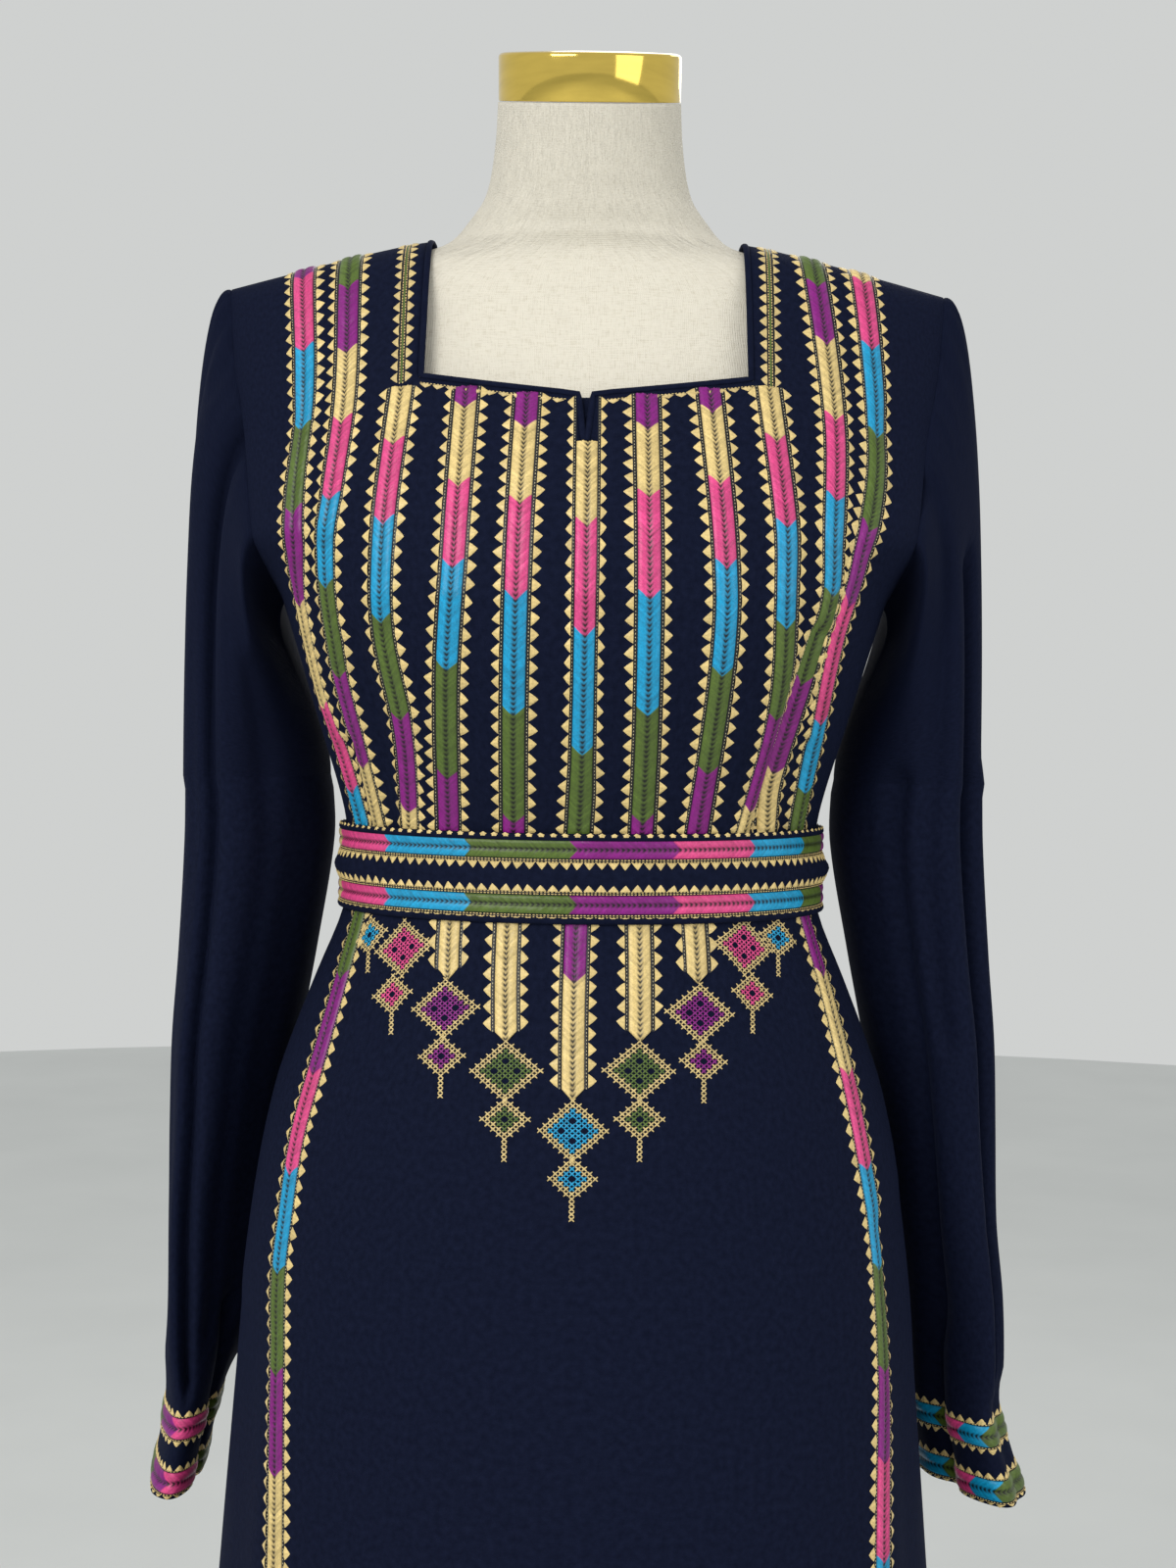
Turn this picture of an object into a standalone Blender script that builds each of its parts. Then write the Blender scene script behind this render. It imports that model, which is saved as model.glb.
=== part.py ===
"""Palestinian thobe dress standing on its limbless dress form.

Metres, +Z up, the front faces -Y, the floor is z = 0 under the form's round base.
Sleeves are named by the wearer's side: the left sleeve is on the +X side.
"""

import math

import bmesh
import bpy

# ---- named sizes -------------------------------------------------------------------------
CLOTH = 0.0014  # thickness of the crepe walls
SEAM_GAP = 0.0003  # clear gap between two pieces at a seam
PANEL_GAP = 0.0009  # between the outer faces of the front and back, whose walls lean together
UNDERARM = 1.198  # height of the lowest point of the armholes
NECK_POINT = 1.400  # height of the shoulder seam where it meets the neck
SHOULDER_DROP = 0.027  # fall of the shoulder seam from neck to armhole
NECK_HALF = 0.088  # half the width of the square neck
SHOULDER_HALF = 0.200  # half the width across the shoulders
CHEST_DEPTH = 0.140  # front of the chest ahead of the shoulder line
BLADE_DEPTH = 0.104  # back behind the shoulder line
YOKE_HALF = 0.205  # half width at which the upper body would close
BLADE_SQUARE = 2.4  # how square the back turns over the shoulder
BUST_SQUARE = 2.3  # squareness of the body at the underarm
NECK_ROW = 42.6  # turn of the front neck edge, degrees round the yoke
SLIT_ROW = 30.0  # turn of the foot of the centre slit
BACK_NECK_ROW = 58.0  # turn of the back neck edge
BELT_LOW = 1.0318
BELT_HIGH = 1.0712
BELT_THICK = 0.0026
BELT_CLEAR = 0.0008  # between the dress and the belt
LAP_LIFT = 0.0048  # how far the lapping end of the belt stands out
LAP_LENGTH = 0.030
PIPING_RADIUS = 0.0019
BINDING_RADIUS = 0.0013
HEM = 0.030

# height, half width, front depth, back depth, squareness: the outside of the dress
BODY = (
    (0.030, 0.272, 0.208, 0.222, 2.00),
    (0.150, 0.256, 0.195, 0.207, 2.00),
    (0.300, 0.238, 0.180, 0.189, 2.03),
    (0.450, 0.2225, 0.166, 0.174, 2.06),
    (0.600, 0.2075, 0.152, 0.159, 2.10),
    (0.708, 0.1985, 0.145, 0.150, 2.12),
    (0.764, 0.1940, 0.141, 0.145, 2.15),
    (0.819, 0.1895, 0.136, 0.139, 2.15),
    (0.886, 0.1805, 0.130, 0.130, 2.12),
    (0.930, 0.1710, 0.124, 0.121, 2.10),
    (0.958, 0.1615, 0.118, 0.113, 2.08),
    (0.990, 0.1490, 0.110, 0.103, 2.05),
    (1.028, 0.1340, 0.1010, 0.0900, 2.02),
    (1.052, 0.1325, 0.0990, 0.0870, 2.00),
    (1.075, 0.1330, 0.1005, 0.0880, 2.00),
    (1.097, 0.1380, 0.110, 0.092, 2.00),
    (1.130, 0.1480, 0.124, 0.097, 2.10),
    (1.165, 0.1580, 0.135, 0.101, 2.25),
    (1.198, 0.1680, 0.140, 0.104, 2.30),
)

# angle from centre front, half spread, depth at the hem, height where it dies out
FOLDS = (
    (-49, 12, 0.016, 0.60),
    (-75, 11, 0.029, 0.69),
    (-105, 11, 0.029, 0.69),
    (-130, 12, 0.033, 0.72),
    (-155, 11, 0.026, 0.80),
    (180, 20, 0.016, 0.88),
    (156, 10, 0.024, 0.76),
    (131, 12, 0.032, 0.70),
    (103, 11, 0.027, 0.68),
    (77, 11, 0.027, 0.68),
    (52, 12, 0.020, 0.66),
    (24, 14, 0.009, 0.45),
    (-20, 14, 0.011, 0.48),
)

# turn over the front yoke, share of the height to the shoulder, share of the chest's depth
CHEST = (
    (0.0, 0.0, 1.0),
    (7.0, 0.10, 0.985),
    (15.0, 0.21, 0.945),
    (26.7, 0.36, 0.835),
    (42.6, 0.554, 0.665),
    (54.5, 0.70, 0.540),
    (62.6, 0.80, 0.455),
    (69.5, 0.88, 0.370),
    (75.4, 0.94, 0.285),
    (81.7, 0.98, 0.170),
    (90.0, 1.0, 0.0),
)

# turn over the yoke, half width of the body at the armhole edge there
ARMHOLE = (
    (0.0, 0.1680),
    (4.0, 0.1720),
    (10.0, 0.1760),
    (19.0, 0.1800),
    (40.0, 0.1865),
    (58.0, 0.1945),
    (75.0, 0.1985),
    (90.0, 0.2000),
)

# height, centre across, centre back, half across, half fore and aft, lean round the skirt
SLEEVE = (
    (1.100, 0.1850, 0.018, 0.0375, 0.054, 0.26),
    (1.064, 0.1850, 0.021, 0.0385, 0.054, 0.26),
    (1.000, 0.1925, 0.028, 0.0355, 0.055, 0.24),
    (0.950, 0.1995, 0.033, 0.0325, 0.056, 0.24),
    (0.900, 0.2050, 0.039, 0.0295, 0.056, 0.22),
    (0.850, 0.2085, 0.045, 0.0265, 0.056, 0.25),
    (0.800, 0.2117, 0.050, 0.0248, 0.056, 0.26),
    (0.765, 0.2128, 0.053, 0.0238, 0.056, 0.27),
    (0.734, 0.2130, 0.055, 0.0222, 0.054, 0.28),
    (0.710, 0.2165, 0.057, 0.0232, 0.056, 0.28),
    (0.683, 0.2205, 0.059, 0.0252, 0.059, 0.28),
)
SLEEVE_HEIGHTS = (1.064, 1.03, 1.0, 0.965, 0.93, 0.89, 0.85, 0.81, 0.775, 0.75, 0.734, 0.71, 0.683)

# height, how much further out the wearer's left sleeve hangs
LEFT_SLEEVE_OUT = ((0.683, 0.016), (0.734, 0.011), (0.80, 0.008), (0.85, 0.004), (1.0, 0.002), (1.1, 0.0))
# the right cuff hangs narrower and straighter: height, further out, half across, lean
RIGHT_CUFF = (
    (0.683, 0.0175, -0.0102, -0.36),
    (0.710, 0.0155, -0.0078, -0.34),
    (0.734, 0.0140, -0.0058, -0.31),
    (0.765, 0.0072, -0.0035, -0.17),
    (0.800, 0.0008, -0.0006, -0.04),
    (0.850, 0.0, 0.0, 0.0),
    (1.100, 0.0, 0.0, 0.0),
)

# place round the sleeve (0 outside, 90 front), half spread, depth, top height, bottom height
SLEEVE_CREASES = (
    (52, 30, 0.0075, 1.30, 0.70),
    (150, 30, 0.0050, 1.12, 0.80),
    (235, 34, 0.0070, 1.28, 0.72),
    (315, 30, 0.0060, 1.24, 0.74),
)

# height, half width, front, back, squareness, forward shift, tilt of the ring
TORSO = (
    (0.720, 0.158, 0.108, 0.110, 2.2, 0.000, 0.0),
    (0.740, 0.172, 0.120, 0.122, 2.2, 0.000, 0.0),
    (0.819, 0.178, 0.125, 0.127, 2.2, 0.000, 0.0),
    (0.886, 0.1695, 0.119, 0.118, 2.2, 0.000, 0.0),
    (0.958, 0.1505, 0.107, 0.101, 2.1, 0.000, 0.0),
    (1.010, 0.1320, 0.096, 0.087, 2.0, 0.000, 0.0),
    (1.052, 0.1240, 0.0905, 0.0785, 2.0, 0.000, 0.0),
    (1.097, 0.1290, 0.101, 0.082, 2.0, 0.000, 0.0),
    (1.150, 0.1425, 0.120, 0.092, 2.0, 0.000, 0.0),
    (1.198, 0.1540, 0.1285, 0.096, 2.15, 0.000, 0.0),
    (1.255, 0.1600, 0.1125, 0.095, 2.1, 0.000, 0.0),
    (1.310, 0.1680, 0.0830, 0.087, 2.0, 0.000, 0.0),
    (1.345, 0.1760, 0.0630, 0.074, 2.0, 0.000, 0.0),
    (1.362, 0.1750, 0.0555, 0.065, 2.0, 0.000, 0.0),
    (1.375, 0.1590, 0.0510, 0.056, 2.0, 0.000, 0.0),
    (1.383, 0.1360, 0.0475, 0.050, 2.0, 0.001, 0.0),
    (1.389, 0.1080, 0.0460, 0.046, 2.0, 0.002, 0.0),
    (1.3935, 0.0890, 0.0465, 0.044, 2.0, 0.003, 0.0),
    (1.3975, 0.0790, 0.0475, 0.044, 2.0, 0.004, 0.01),
    (1.4035, 0.0722, 0.0480, 0.045, 2.0, 0.004, 0.03),
    (1.4090, 0.0677, 0.0485, 0.045, 2.0, 0.005, 0.05),
    (1.4150, 0.0630, 0.0490, 0.046, 2.0, 0.006, 0.07),
    (1.4220, 0.0584, 0.0490, 0.046, 2.0, 0.007, 0.10),
    (1.4330, 0.0548, 0.0490, 0.047, 2.0, 0.009, 0.14),
    (1.4540, 0.0518, 0.0490, 0.048, 2.0, 0.012, 0.21),
    (1.4750, 0.0506, 0.0495, 0.0495, 2.0, 0.015, 0.27),
)
NECK_TILT = 0.27  # slope of the top of the neck
NECK_FORWARD = 0.015

# radius, height above the neck's flat top
CAP_PROFILE = (
    (0.0, 0.0272),
    (0.0300, 0.0267),
    (0.0480, 0.0258),
    (0.0498, 0.0251),
    (0.0504, 0.0236),
    (0.0504, 0.0012),
    (0.0496, 0.0004),
    (0.0, 0.0004),
)
POLE_PROFILE = ((0.0, 0.7196), (0.0150, 0.7196), (0.0150, 0.0214), (0.0, 0.0214))
BASE_PROFILE = (
    (0.0, 0.0210),
    (0.0220, 0.0210),
    (0.1300, 0.0125),
    (0.1720, 0.0085),
    (0.1755, 0.0060),
    (0.1760, 0.0),
    (0.0, 0.0),
)
ROUND_STEPS = 32

# columns of the dress, degrees round from its centre line
COLUMNS = (1.5, 10.0, 19.5, 28.39, 37.0, 47.0, 55.0, 63.0, 71.5, 79.5, 86.0, 90.0)
SLIT_COLUMN = 1.5
NECK_COLUMN = 28.39  # where the half width at the underarm is NECK_HALF
SKIRT_ROWS = (
    0.030, 0.085, 0.150, 0.220, 0.300, 0.380, 0.460, 0.540, 0.620, 0.700, 0.764, 0.819, 0.862,
    0.900, 0.935, 0.965, 0.995, 1.028, 1.052, 1.075, 1.097, 1.130, 1.165,
)  # fmt: skip
YOKE_ROWS = (0.0, 3.5, 7.5, 13.0, 21.0, SLIT_ROW, 36.0, NECK_ROW, 50.0, BACK_NECK_ROW)
YOKE_ROWS += (66.0, 74.0, 81.5, 87.0, 90.0)
SLEEVE_TURNS = (90.0, 76.0, 63.0, 50.0, 39.0, 29.5, 20.1, 13.0, 7.0, 3.0, 0.0)

COLOURS = {
    "navy": ((0.013, 0.018, 0.045, 1.0), 0.0, 0.75),
    "belt": ((0.30, 0.10, 0.20, 1.0), 0.0, 0.5),
    "linen": ((0.72, 0.68, 0.60, 1.0), 0.0, 0.9),
    "brass": ((0.62, 0.46, 0.16, 1.0), 1.0, 0.25),
    "steel": ((0.55, 0.55, 0.56, 1.0), 1.0, 0.35),
}


# ---- reading the tables ------------------------------------------------------------------
def smooth_step(value):
    """0 below 0, 1 above 1, and a smooth ramp between."""
    value = min(max(value, 0.0), 1.0)
    return value * value * (3.0 - 2.0 * value)


def row_at(table, key):
    """The table's columns after the first, smoothly read at this value of the first column."""
    rows = sorted(table)
    if key <= rows[0][0]:
        return rows[0][1:]
    if key >= rows[-1][0]:
        return rows[-1][1:]
    i = max(k for k, row in enumerate(rows) if row[0] <= key)
    before, low, high = rows[max(i - 1, 0)], rows[i], rows[i + 1]
    after = rows[min(i + 2, len(rows) - 1)]
    span = high[0] - low[0]
    s = (key - low[0]) / span
    found = []
    for column in range(1, len(low)):
        slope_low = (high[column] - before[column]) / (high[0] - before[0])
        slope_high = (after[column] - low[column]) / (after[0] - low[0])
        found.append(
            low[column] * (2 * s**3 - 3 * s**2 + 1)
            + slope_low * span * (s**3 - 2 * s**2 + s)
            + high[column] * (3 * s**2 - 2 * s**3)
            + slope_high * span * (s**3 - s**2)
        )
    return found


def fold_depth(angle, height):
    """How far the skirt's folds push the cloth in or out at this place."""
    total = 0.0
    for centre, spread, depth, top in FOLDS:
        away = (angle - centre + 180.0) % 360.0 - 180.0
        reach = (top - height) / (top - HEM)
        if reach > 0.0:
            wave = math.exp(-((away / spread) ** 2) * 2.2) - 0.05
            total += depth * smooth_step(reach) * wave
    return total


# ---- the dress body ----------------------------------------------------------------------
def section_point(angle, height, outward=0.0):
    """A point on the dress below the underarm. Angle 0 is centre front, 90 is the +X side."""
    half, front, back, square = row_at(BODY, height)
    turn = math.radians(angle)
    across, ahead = math.sin(turn), math.cos(turn)
    depth = front if ahead >= 0 else back
    x = half * math.copysign(abs(across) ** (2 / square), across)
    y = -depth * math.copysign(abs(ahead) ** (2 / square), ahead)
    push = outward + fold_depth(angle, height)
    return x + push * across, y - push * ahead, height


def shoulder_height(x):
    """The height of the shoulder seam this far from the centre."""
    along = max(abs(x) - NECK_HALF, 0.0) / (SHOULDER_HALF - NECK_HALF)
    return NECK_POINT - SHOULDER_DROP * along**1.15


def yoke_point(angle, turn, depth):
    """A point above the underarm. Turn 0 is at the underarm, 90 is on the shoulder seam."""
    half = row_at(BODY, UNDERARM)[0]
    share = abs(math.sin(math.radians(angle)))
    start = half * share ** (2 / BUST_SQUARE)
    widen = max((start - NECK_HALF) / (half - NECK_HALF), 0.0) ** 1.5
    edge = row_at(ARMHOLE, turn)[0]
    x = start + (edge - half) * widen
    top = shoulder_height(start + (SHOULDER_HALF - half) * widen)
    if depth == BLADE_DEPTH:
        rise = math.sin(math.radians(turn)) ** (2 / BLADE_SQUARE)
        fall = max(math.cos(math.radians(turn)), 0.0) ** (2 / BLADE_SQUARE)
    else:
        rise, fall = row_at(CHEST, turn)
    low_depth = depth * max(1.0 - share**2, 0.0) ** (1 / BUST_SQUARE)
    high_depth = depth * math.sqrt(1.0 - (x / YOKE_HALF) ** 2)
    mixed = low_depth + (high_depth - low_depth) * smooth_step(turn / (24.0 - 10.0 * share))
    y = mixed * fall
    z = UNDERARM + (top - UNDERARM) * rise
    return math.copysign(x, angle), y, z


def slit_half(turn):
    """Half the width of the centre slit in the cloth at this turn of the yoke."""
    along = (turn - SLIT_ROW) / (NECK_ROW - SLIT_ROW)
    return 0.0042 + 0.0022 * min(max(along, 0.0), 1.0)


def front_point(column, row):
    """Rows are heights below the underarm, and turns plus ten above it."""
    if row < 5.0:
        x, y, z = section_point(column, row)
    else:
        turn = row - 10.0
        x, y, z = yoke_point(column, turn, CHEST_DEPTH)
        y = -y
        if abs(column) == SLIT_COLUMN and turn >= SLIT_ROW:
            x = math.copysign(slit_half(turn), column)
    return x, min(y, 0.0) - PANEL_GAP / 2 if abs(y) < 0.004 else y, z


def back_point(column, row):
    """As front_point, with the columns counted from the centre back towards -X."""
    if row < 5.0:
        x, y, z = section_point(180.0 + column, row)
    else:
        x, y, z = yoke_point(-column, row - 10.0, BLADE_DEPTH)
    return x, max(y, 0.0) + PANEL_GAP / 2 if abs(y) < 0.004 else y, z


def sheet_of_cells(name, columns, rows, place, keep=None, closed=False):
    """A grid of cells moved into place, with its unwanted cells removed."""
    mesh = bmesh.new()
    wide, tall = len(columns) - 1, len(rows) - 1
    bmesh.ops.create_grid(mesh, x_segments=wide, y_segments=tall, size=0.5)
    cells = {}
    for vertex in mesh.verts:
        cells[vertex] = (round((vertex.co.x + 0.5) * wide), round((vertex.co.y + 0.5) * tall))
    unwanted = []
    for face in mesh.faces:
        i = min(cells[vertex][0] for vertex in face.verts)
        j = min(cells[vertex][1] for vertex in face.verts)
        if keep and not keep(columns[i], columns[i + 1], rows[j]):
            unwanted.append(face)
    for vertex, (i, j) in cells.items():
        vertex.co = place(columns[i], rows[j])
    bmesh.ops.delete(mesh, geom=unwanted, context="FACES")
    if closed:
        bmesh.ops.remove_doubles(mesh, verts=mesh.verts, dist=1e-6)
    return finish_mesh(name, mesh)


def finish_mesh(name, mesh):
    """The mesh as a new object in the thobe's collection."""
    data = bpy.data.meshes.new(name)
    mesh.to_mesh(data)
    mesh.free()
    made = bpy.data.objects.new(name, data)
    THOBE.objects.link(made)
    return made


def give_wall(made, thickness):
    """Thickens an open surface inwards."""
    wall = made.modifiers.new("wall", "SOLIDIFY")
    wall.thickness = thickness
    wall.offset = -1.0


def paint(made, kind):
    """Gives the object its own plain material."""
    colour, metallic, roughness = COLOURS[kind]
    material = bpy.data.materials.new(made.name + "_" + kind)
    material.use_nodes = True
    shader = material.node_tree.nodes["Principled BSDF"]
    shader.inputs["Base Color"].default_value = colour
    shader.inputs["Metallic"].default_value = metallic
    shader.inputs["Roughness"].default_value = roughness
    made.data.materials.append(material)


def both_ways(columns):
    """The columns from one side seam through the centre to the other."""
    return [-column for column in reversed(columns)] + list(columns)


def build_front():
    """The front length, with the square neck and its slit cut out."""
    rows = list(SKIRT_ROWS) + [turn + 10.0 for turn in YOKE_ROWS]

    def keep(first, second, row):
        in_neck = first >= -NECK_COLUMN and second <= NECK_COLUMN
        in_slit = first == -SLIT_COLUMN and second == SLIT_COLUMN
        return not (in_neck and row >= NECK_ROW + 10) and not (in_slit and row >= SLIT_ROW + 10)

    made = sheet_of_cells("front", both_ways(COLUMNS), rows, front_point, keep)
    give_wall(made, CLOTH)
    paint(made, "navy")


def build_back():
    """The back length, with its shallow neck cut out."""
    rows = list(SKIRT_ROWS) + [turn + 10.0 for turn in YOKE_ROWS]
    columns = both_ways(COLUMNS[1:])

    def keep(first, second, row):
        in_neck = first >= -NECK_COLUMN and second <= NECK_COLUMN
        return not (in_neck and row >= BACK_NECK_ROW + 10)

    made = sheet_of_cells("back", columns, rows, back_point, keep)
    give_wall(made, CLOTH)
    paint(made, "navy")


# ---- sleeves -----------------------------------------------------------------------------
def hanging_ring(place, height, side):
    """A point on the hanging part of a sleeve, before its creases."""
    across, behind, half, deep, lean = row_at(SLEEVE, height)
    if side > 0:
        further_out = row_at(LEFT_SLEEVE_OUT, height)[0]
    else:
        further_out, wider, turned = row_at(RIGHT_CUFF, height)
        half, lean = half + wider, lean + turned
    turn = math.radians(place)
    y = -deep * math.sin(turn)
    return across + further_out + half * math.cos(turn) - lean * y, behind + y, height


def crease_depth(place, height):
    """How far the sleeve's creases draw it in at this place."""
    total = 0.0
    for centre, spread, depth, top, bottom in SLEEVE_CREASES:
        away = (place - centre + 180.0) % 360.0 - 180.0
        ends = smooth_step((top - height) / 0.08) * smooth_step((height - bottom) / 0.04 + 1.0)
        total += depth * ends * math.exp(-((away / spread) ** 2) * 2.5)
    return total


def armhole_point(place):
    """The edge of the body's armhole at this place round the sleeve."""
    position = place / 180.0 * 10.0 if place <= 180.0 else (360.0 - place) / 180.0 * 10.0
    i = min(int(position), 9)
    share = position - i
    turn = SLEEVE_TURNS[i] * (1 - share) + SLEEVE_TURNS[i + 1] * share
    depth = CHEST_DEPTH if place <= 180.0 else BLADE_DEPTH
    x, y, z = yoke_point(90.0, turn, depth)
    return x, (-y if place <= 180.0 else y), z


def sleeve_point(place, row, side):
    """Rows 0 to 1 run from the armhole to the first hanging ring, larger rows are 2 - height."""
    along, height = (row, SLEEVE[0][0]) if row <= 0.9 else (1.0, 2.0 - row)
    if row <= 0.9:
        s = row / 0.9
        start = armhole_point(place)
        end = hanging_ring(place, height, side)
        up = 0.5 + 0.5 * math.cos(math.radians(place))
        leave = (0.035 + 0.035 * up, 0.0, -0.07 + 0.075 * up)
        arrive = (0.0, 0.0, -0.12 - 0.14 * up)
        point = []
        for k in range(3):
            point.append(
                start[k] * (2 * s**3 - 3 * s**2 + 1)
                + leave[k] * (s**3 - 2 * s**2 + s)
                + end[k] * (3 * s**2 - 2 * s**3)
                + arrive[k] * (s**3 - s**2)
            )
        x, y, z = point[0] + CLOTH + SEAM_GAP * 1.5, point[1], point[2]
    else:
        x, y, z = hanging_ring(place, height, side)
    draw = crease_depth(place, z) * (1.0 if row > 0.9 else smooth_step((row / 0.9 - 0.2) / 0.8))
    turn = math.radians(place)
    return side * (x - draw * math.cos(turn)), y + draw * math.sin(turn), z


def build_sleeve(name, side):
    """A sleeve tube from its armhole to the open wrist."""
    places = [step * 15.0 for step in range(25)]
    if side < 0:
        places.reverse()
    rows = [0.0, 0.1, 0.22, 0.35, 0.48, 0.62, 0.76, 0.9] + [2.0 - height for height in SLEEVE_HEIGHTS]

    def place(around, row):
        return sleeve_point(around % 360.0, row, side)

    made = sheet_of_cells(name, places, rows, place, closed=True)
    give_wall(made, CLOTH)
    paint(made, "navy")


# ---- belt, piping and neck binding -------------------------------------------------------
def belt_path():
    """Angles round the waist from under the lap to the end of the lap, with their lift."""
    lap_angle = math.degrees(LAP_LENGTH / row_at(BODY, 1.05)[2])
    path = []
    steps = 60
    for step in range(steps + 1):
        angle = 180.0 - lap_angle / 2 - (360.0 + lap_angle) * step / steps
        turned = lap_angle + 22.0 - (360.0 + lap_angle) * (1 - step / steps)
        path.append((angle, LAP_LIFT * smooth_step(turned / 20.0)))
    return path


def build_belt():
    """The belt's broad band, lapping at the centre back."""
    path = belt_path()
    columns = list(range(len(path)))
    rows = (BELT_LOW, (BELT_LOW + BELT_HIGH) / 2, BELT_HIGH)

    def place(step, height):
        angle, lift = path[step]
        return section_point(angle, height, BELT_CLEAR + BELT_THICK + lift)

    made = sheet_of_cells("belt", columns[::-1], rows, place)
    give_wall(made, BELT_THICK)
    paint(made, "belt")


def round_cord(name, points, radius, cyclic):
    """A cord through these points."""
    curve = bpy.data.curves.new(name, "CURVE")
    curve.dimensions = "3D"
    curve.bevel_depth = radius
    curve.bevel_resolution = 1
    curve.use_fill_caps = not cyclic
    line = curve.splines.new("POLY")
    line.points.add(len(points) - 1)
    for spot, point in zip(line.points, points):
        spot.co = (*point, 1.0)
    line.use_cyclic_u = cyclic
    made = bpy.data.objects.new(name, curve)
    THOBE.objects.link(made)
    paint(made, "navy")


def build_piping():
    """The belt's two lengths of piping."""
    for name, height in (
        ("belt_piping_bottom", BELT_LOW - PIPING_RADIUS - SEAM_GAP),
        ("belt_piping_top", BELT_HIGH + PIPING_RADIUS + SEAM_GAP),
    ):
        points = []
        for angle, lift in belt_path():
            points.append(section_point(angle, height, BELT_CLEAR + PIPING_RADIUS + 0.0004 + lift))
        round_cord(name, points, PIPING_RADIUS, False)


def build_neck_binding():
    """The binding round the neck edge and down both sides of the slit."""
    clear = BINDING_RADIUS + SEAM_GAP * 1.5
    share = (NECK_HALF - clear) / row_at(BODY, UNDERARM)[0]
    neck_angle = math.degrees(math.asin(share ** (BUST_SQUARE / 2)))
    bottom = NECK_ROW + 0.8
    ahead = []
    for turn in (90.0, 84.0, 77.0, 70.0, 60.0, 51.0):
        ahead.append(yoke_point(neck_angle, turn, CHEST_DEPTH))
    for angle in (neck_angle, 22.0, 16.0, 10.0, 4.5):
        ahead.append(yoke_point(angle, bottom, CHEST_DEPTH))
    for turn in (bottom, 38.5, 34.0, SLIT_ROW + 1.4):
        x, y, z = yoke_point(SLIT_COLUMN, turn, CHEST_DEPTH)
        ahead.append((slit_half(turn) - clear, y, z))
    ahead.append((0.0, *yoke_point(0.0, SLIT_ROW + 0.8, CHEST_DEPTH)[1:]))
    points = [(x, CLOTH / 2 - y, z) for x, y, z in ahead]
    points += [(-x, y, z) for x, y, z in reversed(points[:-1])]
    behind = [yoke_point(-neck_angle, turn, BLADE_DEPTH) for turn in (82.0, 72.0)]
    for angle in (-neck_angle, -22.0, -11.0, 0.0, 11.0, 22.0, neck_angle):
        behind.append(yoke_point(angle, BACK_NECK_ROW + 1.2, BLADE_DEPTH))
    behind += [yoke_point(neck_angle, turn, BLADE_DEPTH) for turn in (72.0, 82.0)]
    points += [(x, y - CLOTH / 2, z) for x, y, z in behind]
    round_cord("neck_binding", points, BINDING_RADIUS, True)


# ---- dress form --------------------------------------------------------------------------
def build_torso():
    """The form's torso and neck as one closed body."""
    places = [step * 15.0 for step in range(25)]

    def place(angle, height):
        half, front, back, square, forward, tilt = row_at(TORSO, height)
        turn = math.radians(angle % 360.0)
        across, ahead = math.sin(turn), math.cos(turn)
        depth = front if ahead >= 0 else back
        x = half * math.copysign(abs(across) ** (2 / square), across)
        y = -depth * math.copysign(abs(ahead) ** (2 / square), ahead)
        return x, y - forward, height + tilt * y

    rows = [row[0] for row in TORSO]
    made = sheet_of_cells("form_torso", places, rows, place, closed=True)
    mesh = bmesh.new()
    mesh.from_mesh(made.data)
    bmesh.ops.holes_fill(mesh, edges=[edge for edge in mesh.edges if edge.is_boundary])
    bmesh.ops.recalc_face_normals(mesh, faces=mesh.faces)
    mesh.to_mesh(made.data)
    mesh.free()
    paint(made, "linen")


def turned_solid(name, profile, kind):
    """A solid of revolution about Z."""
    mesh = bmesh.new()
    spots = [mesh.verts.new((radius, 0.0, height)) for radius, height in profile]
    for first, second in zip(spots, spots[1:]):
        mesh.edges.new((first, second))
    made = finish_mesh(name, mesh)
    screw = made.modifiers.new("turn", "SCREW")
    screw.steps = ROUND_STEPS
    screw.render_steps = ROUND_STEPS
    screw.use_merge_vertices = True
    screw.merge_threshold = 0.00005
    paint(made, kind)
    return made


def build_stand():
    """The brass cap, the pole and the base."""
    cap = turned_solid("form_neck_cap", CAP_PROFILE, "brass")
    cap.location = (0.0, -NECK_FORWARD, TORSO[-1][0])
    cap.rotation_euler = (math.atan(NECK_TILT), 0.0, 0.0)
    turned_solid("form_pole", POLE_PROFILE, "steel")
    turned_solid("form_base", BASE_PROFILE, "steel")


for old in list(bpy.data.objects):
    bpy.data.objects.remove(old)
THOBE = bpy.data.collections.new("palestinian_thobe_dress")
bpy.context.scene.collection.children.link(THOBE)
build_front()
build_back()
build_sleeve("sleeve_left", 1)
build_sleeve("sleeve_right", -1)
build_belt()
build_piping()
build_neck_binding()
build_torso()
build_stand()
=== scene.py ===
"""Looks of the Palestinian thobe dress on its dress form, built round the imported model.

Metres, +Z up, the front faces -Y, the floor is z = 0. The wearer's left side is +X.
"""

import logging
import math
from collections.abc import Callable
from dataclasses import dataclass, field
from enum import Enum

import bmesh
import bpy
import numpy as np
from mathutils import Matrix


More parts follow.
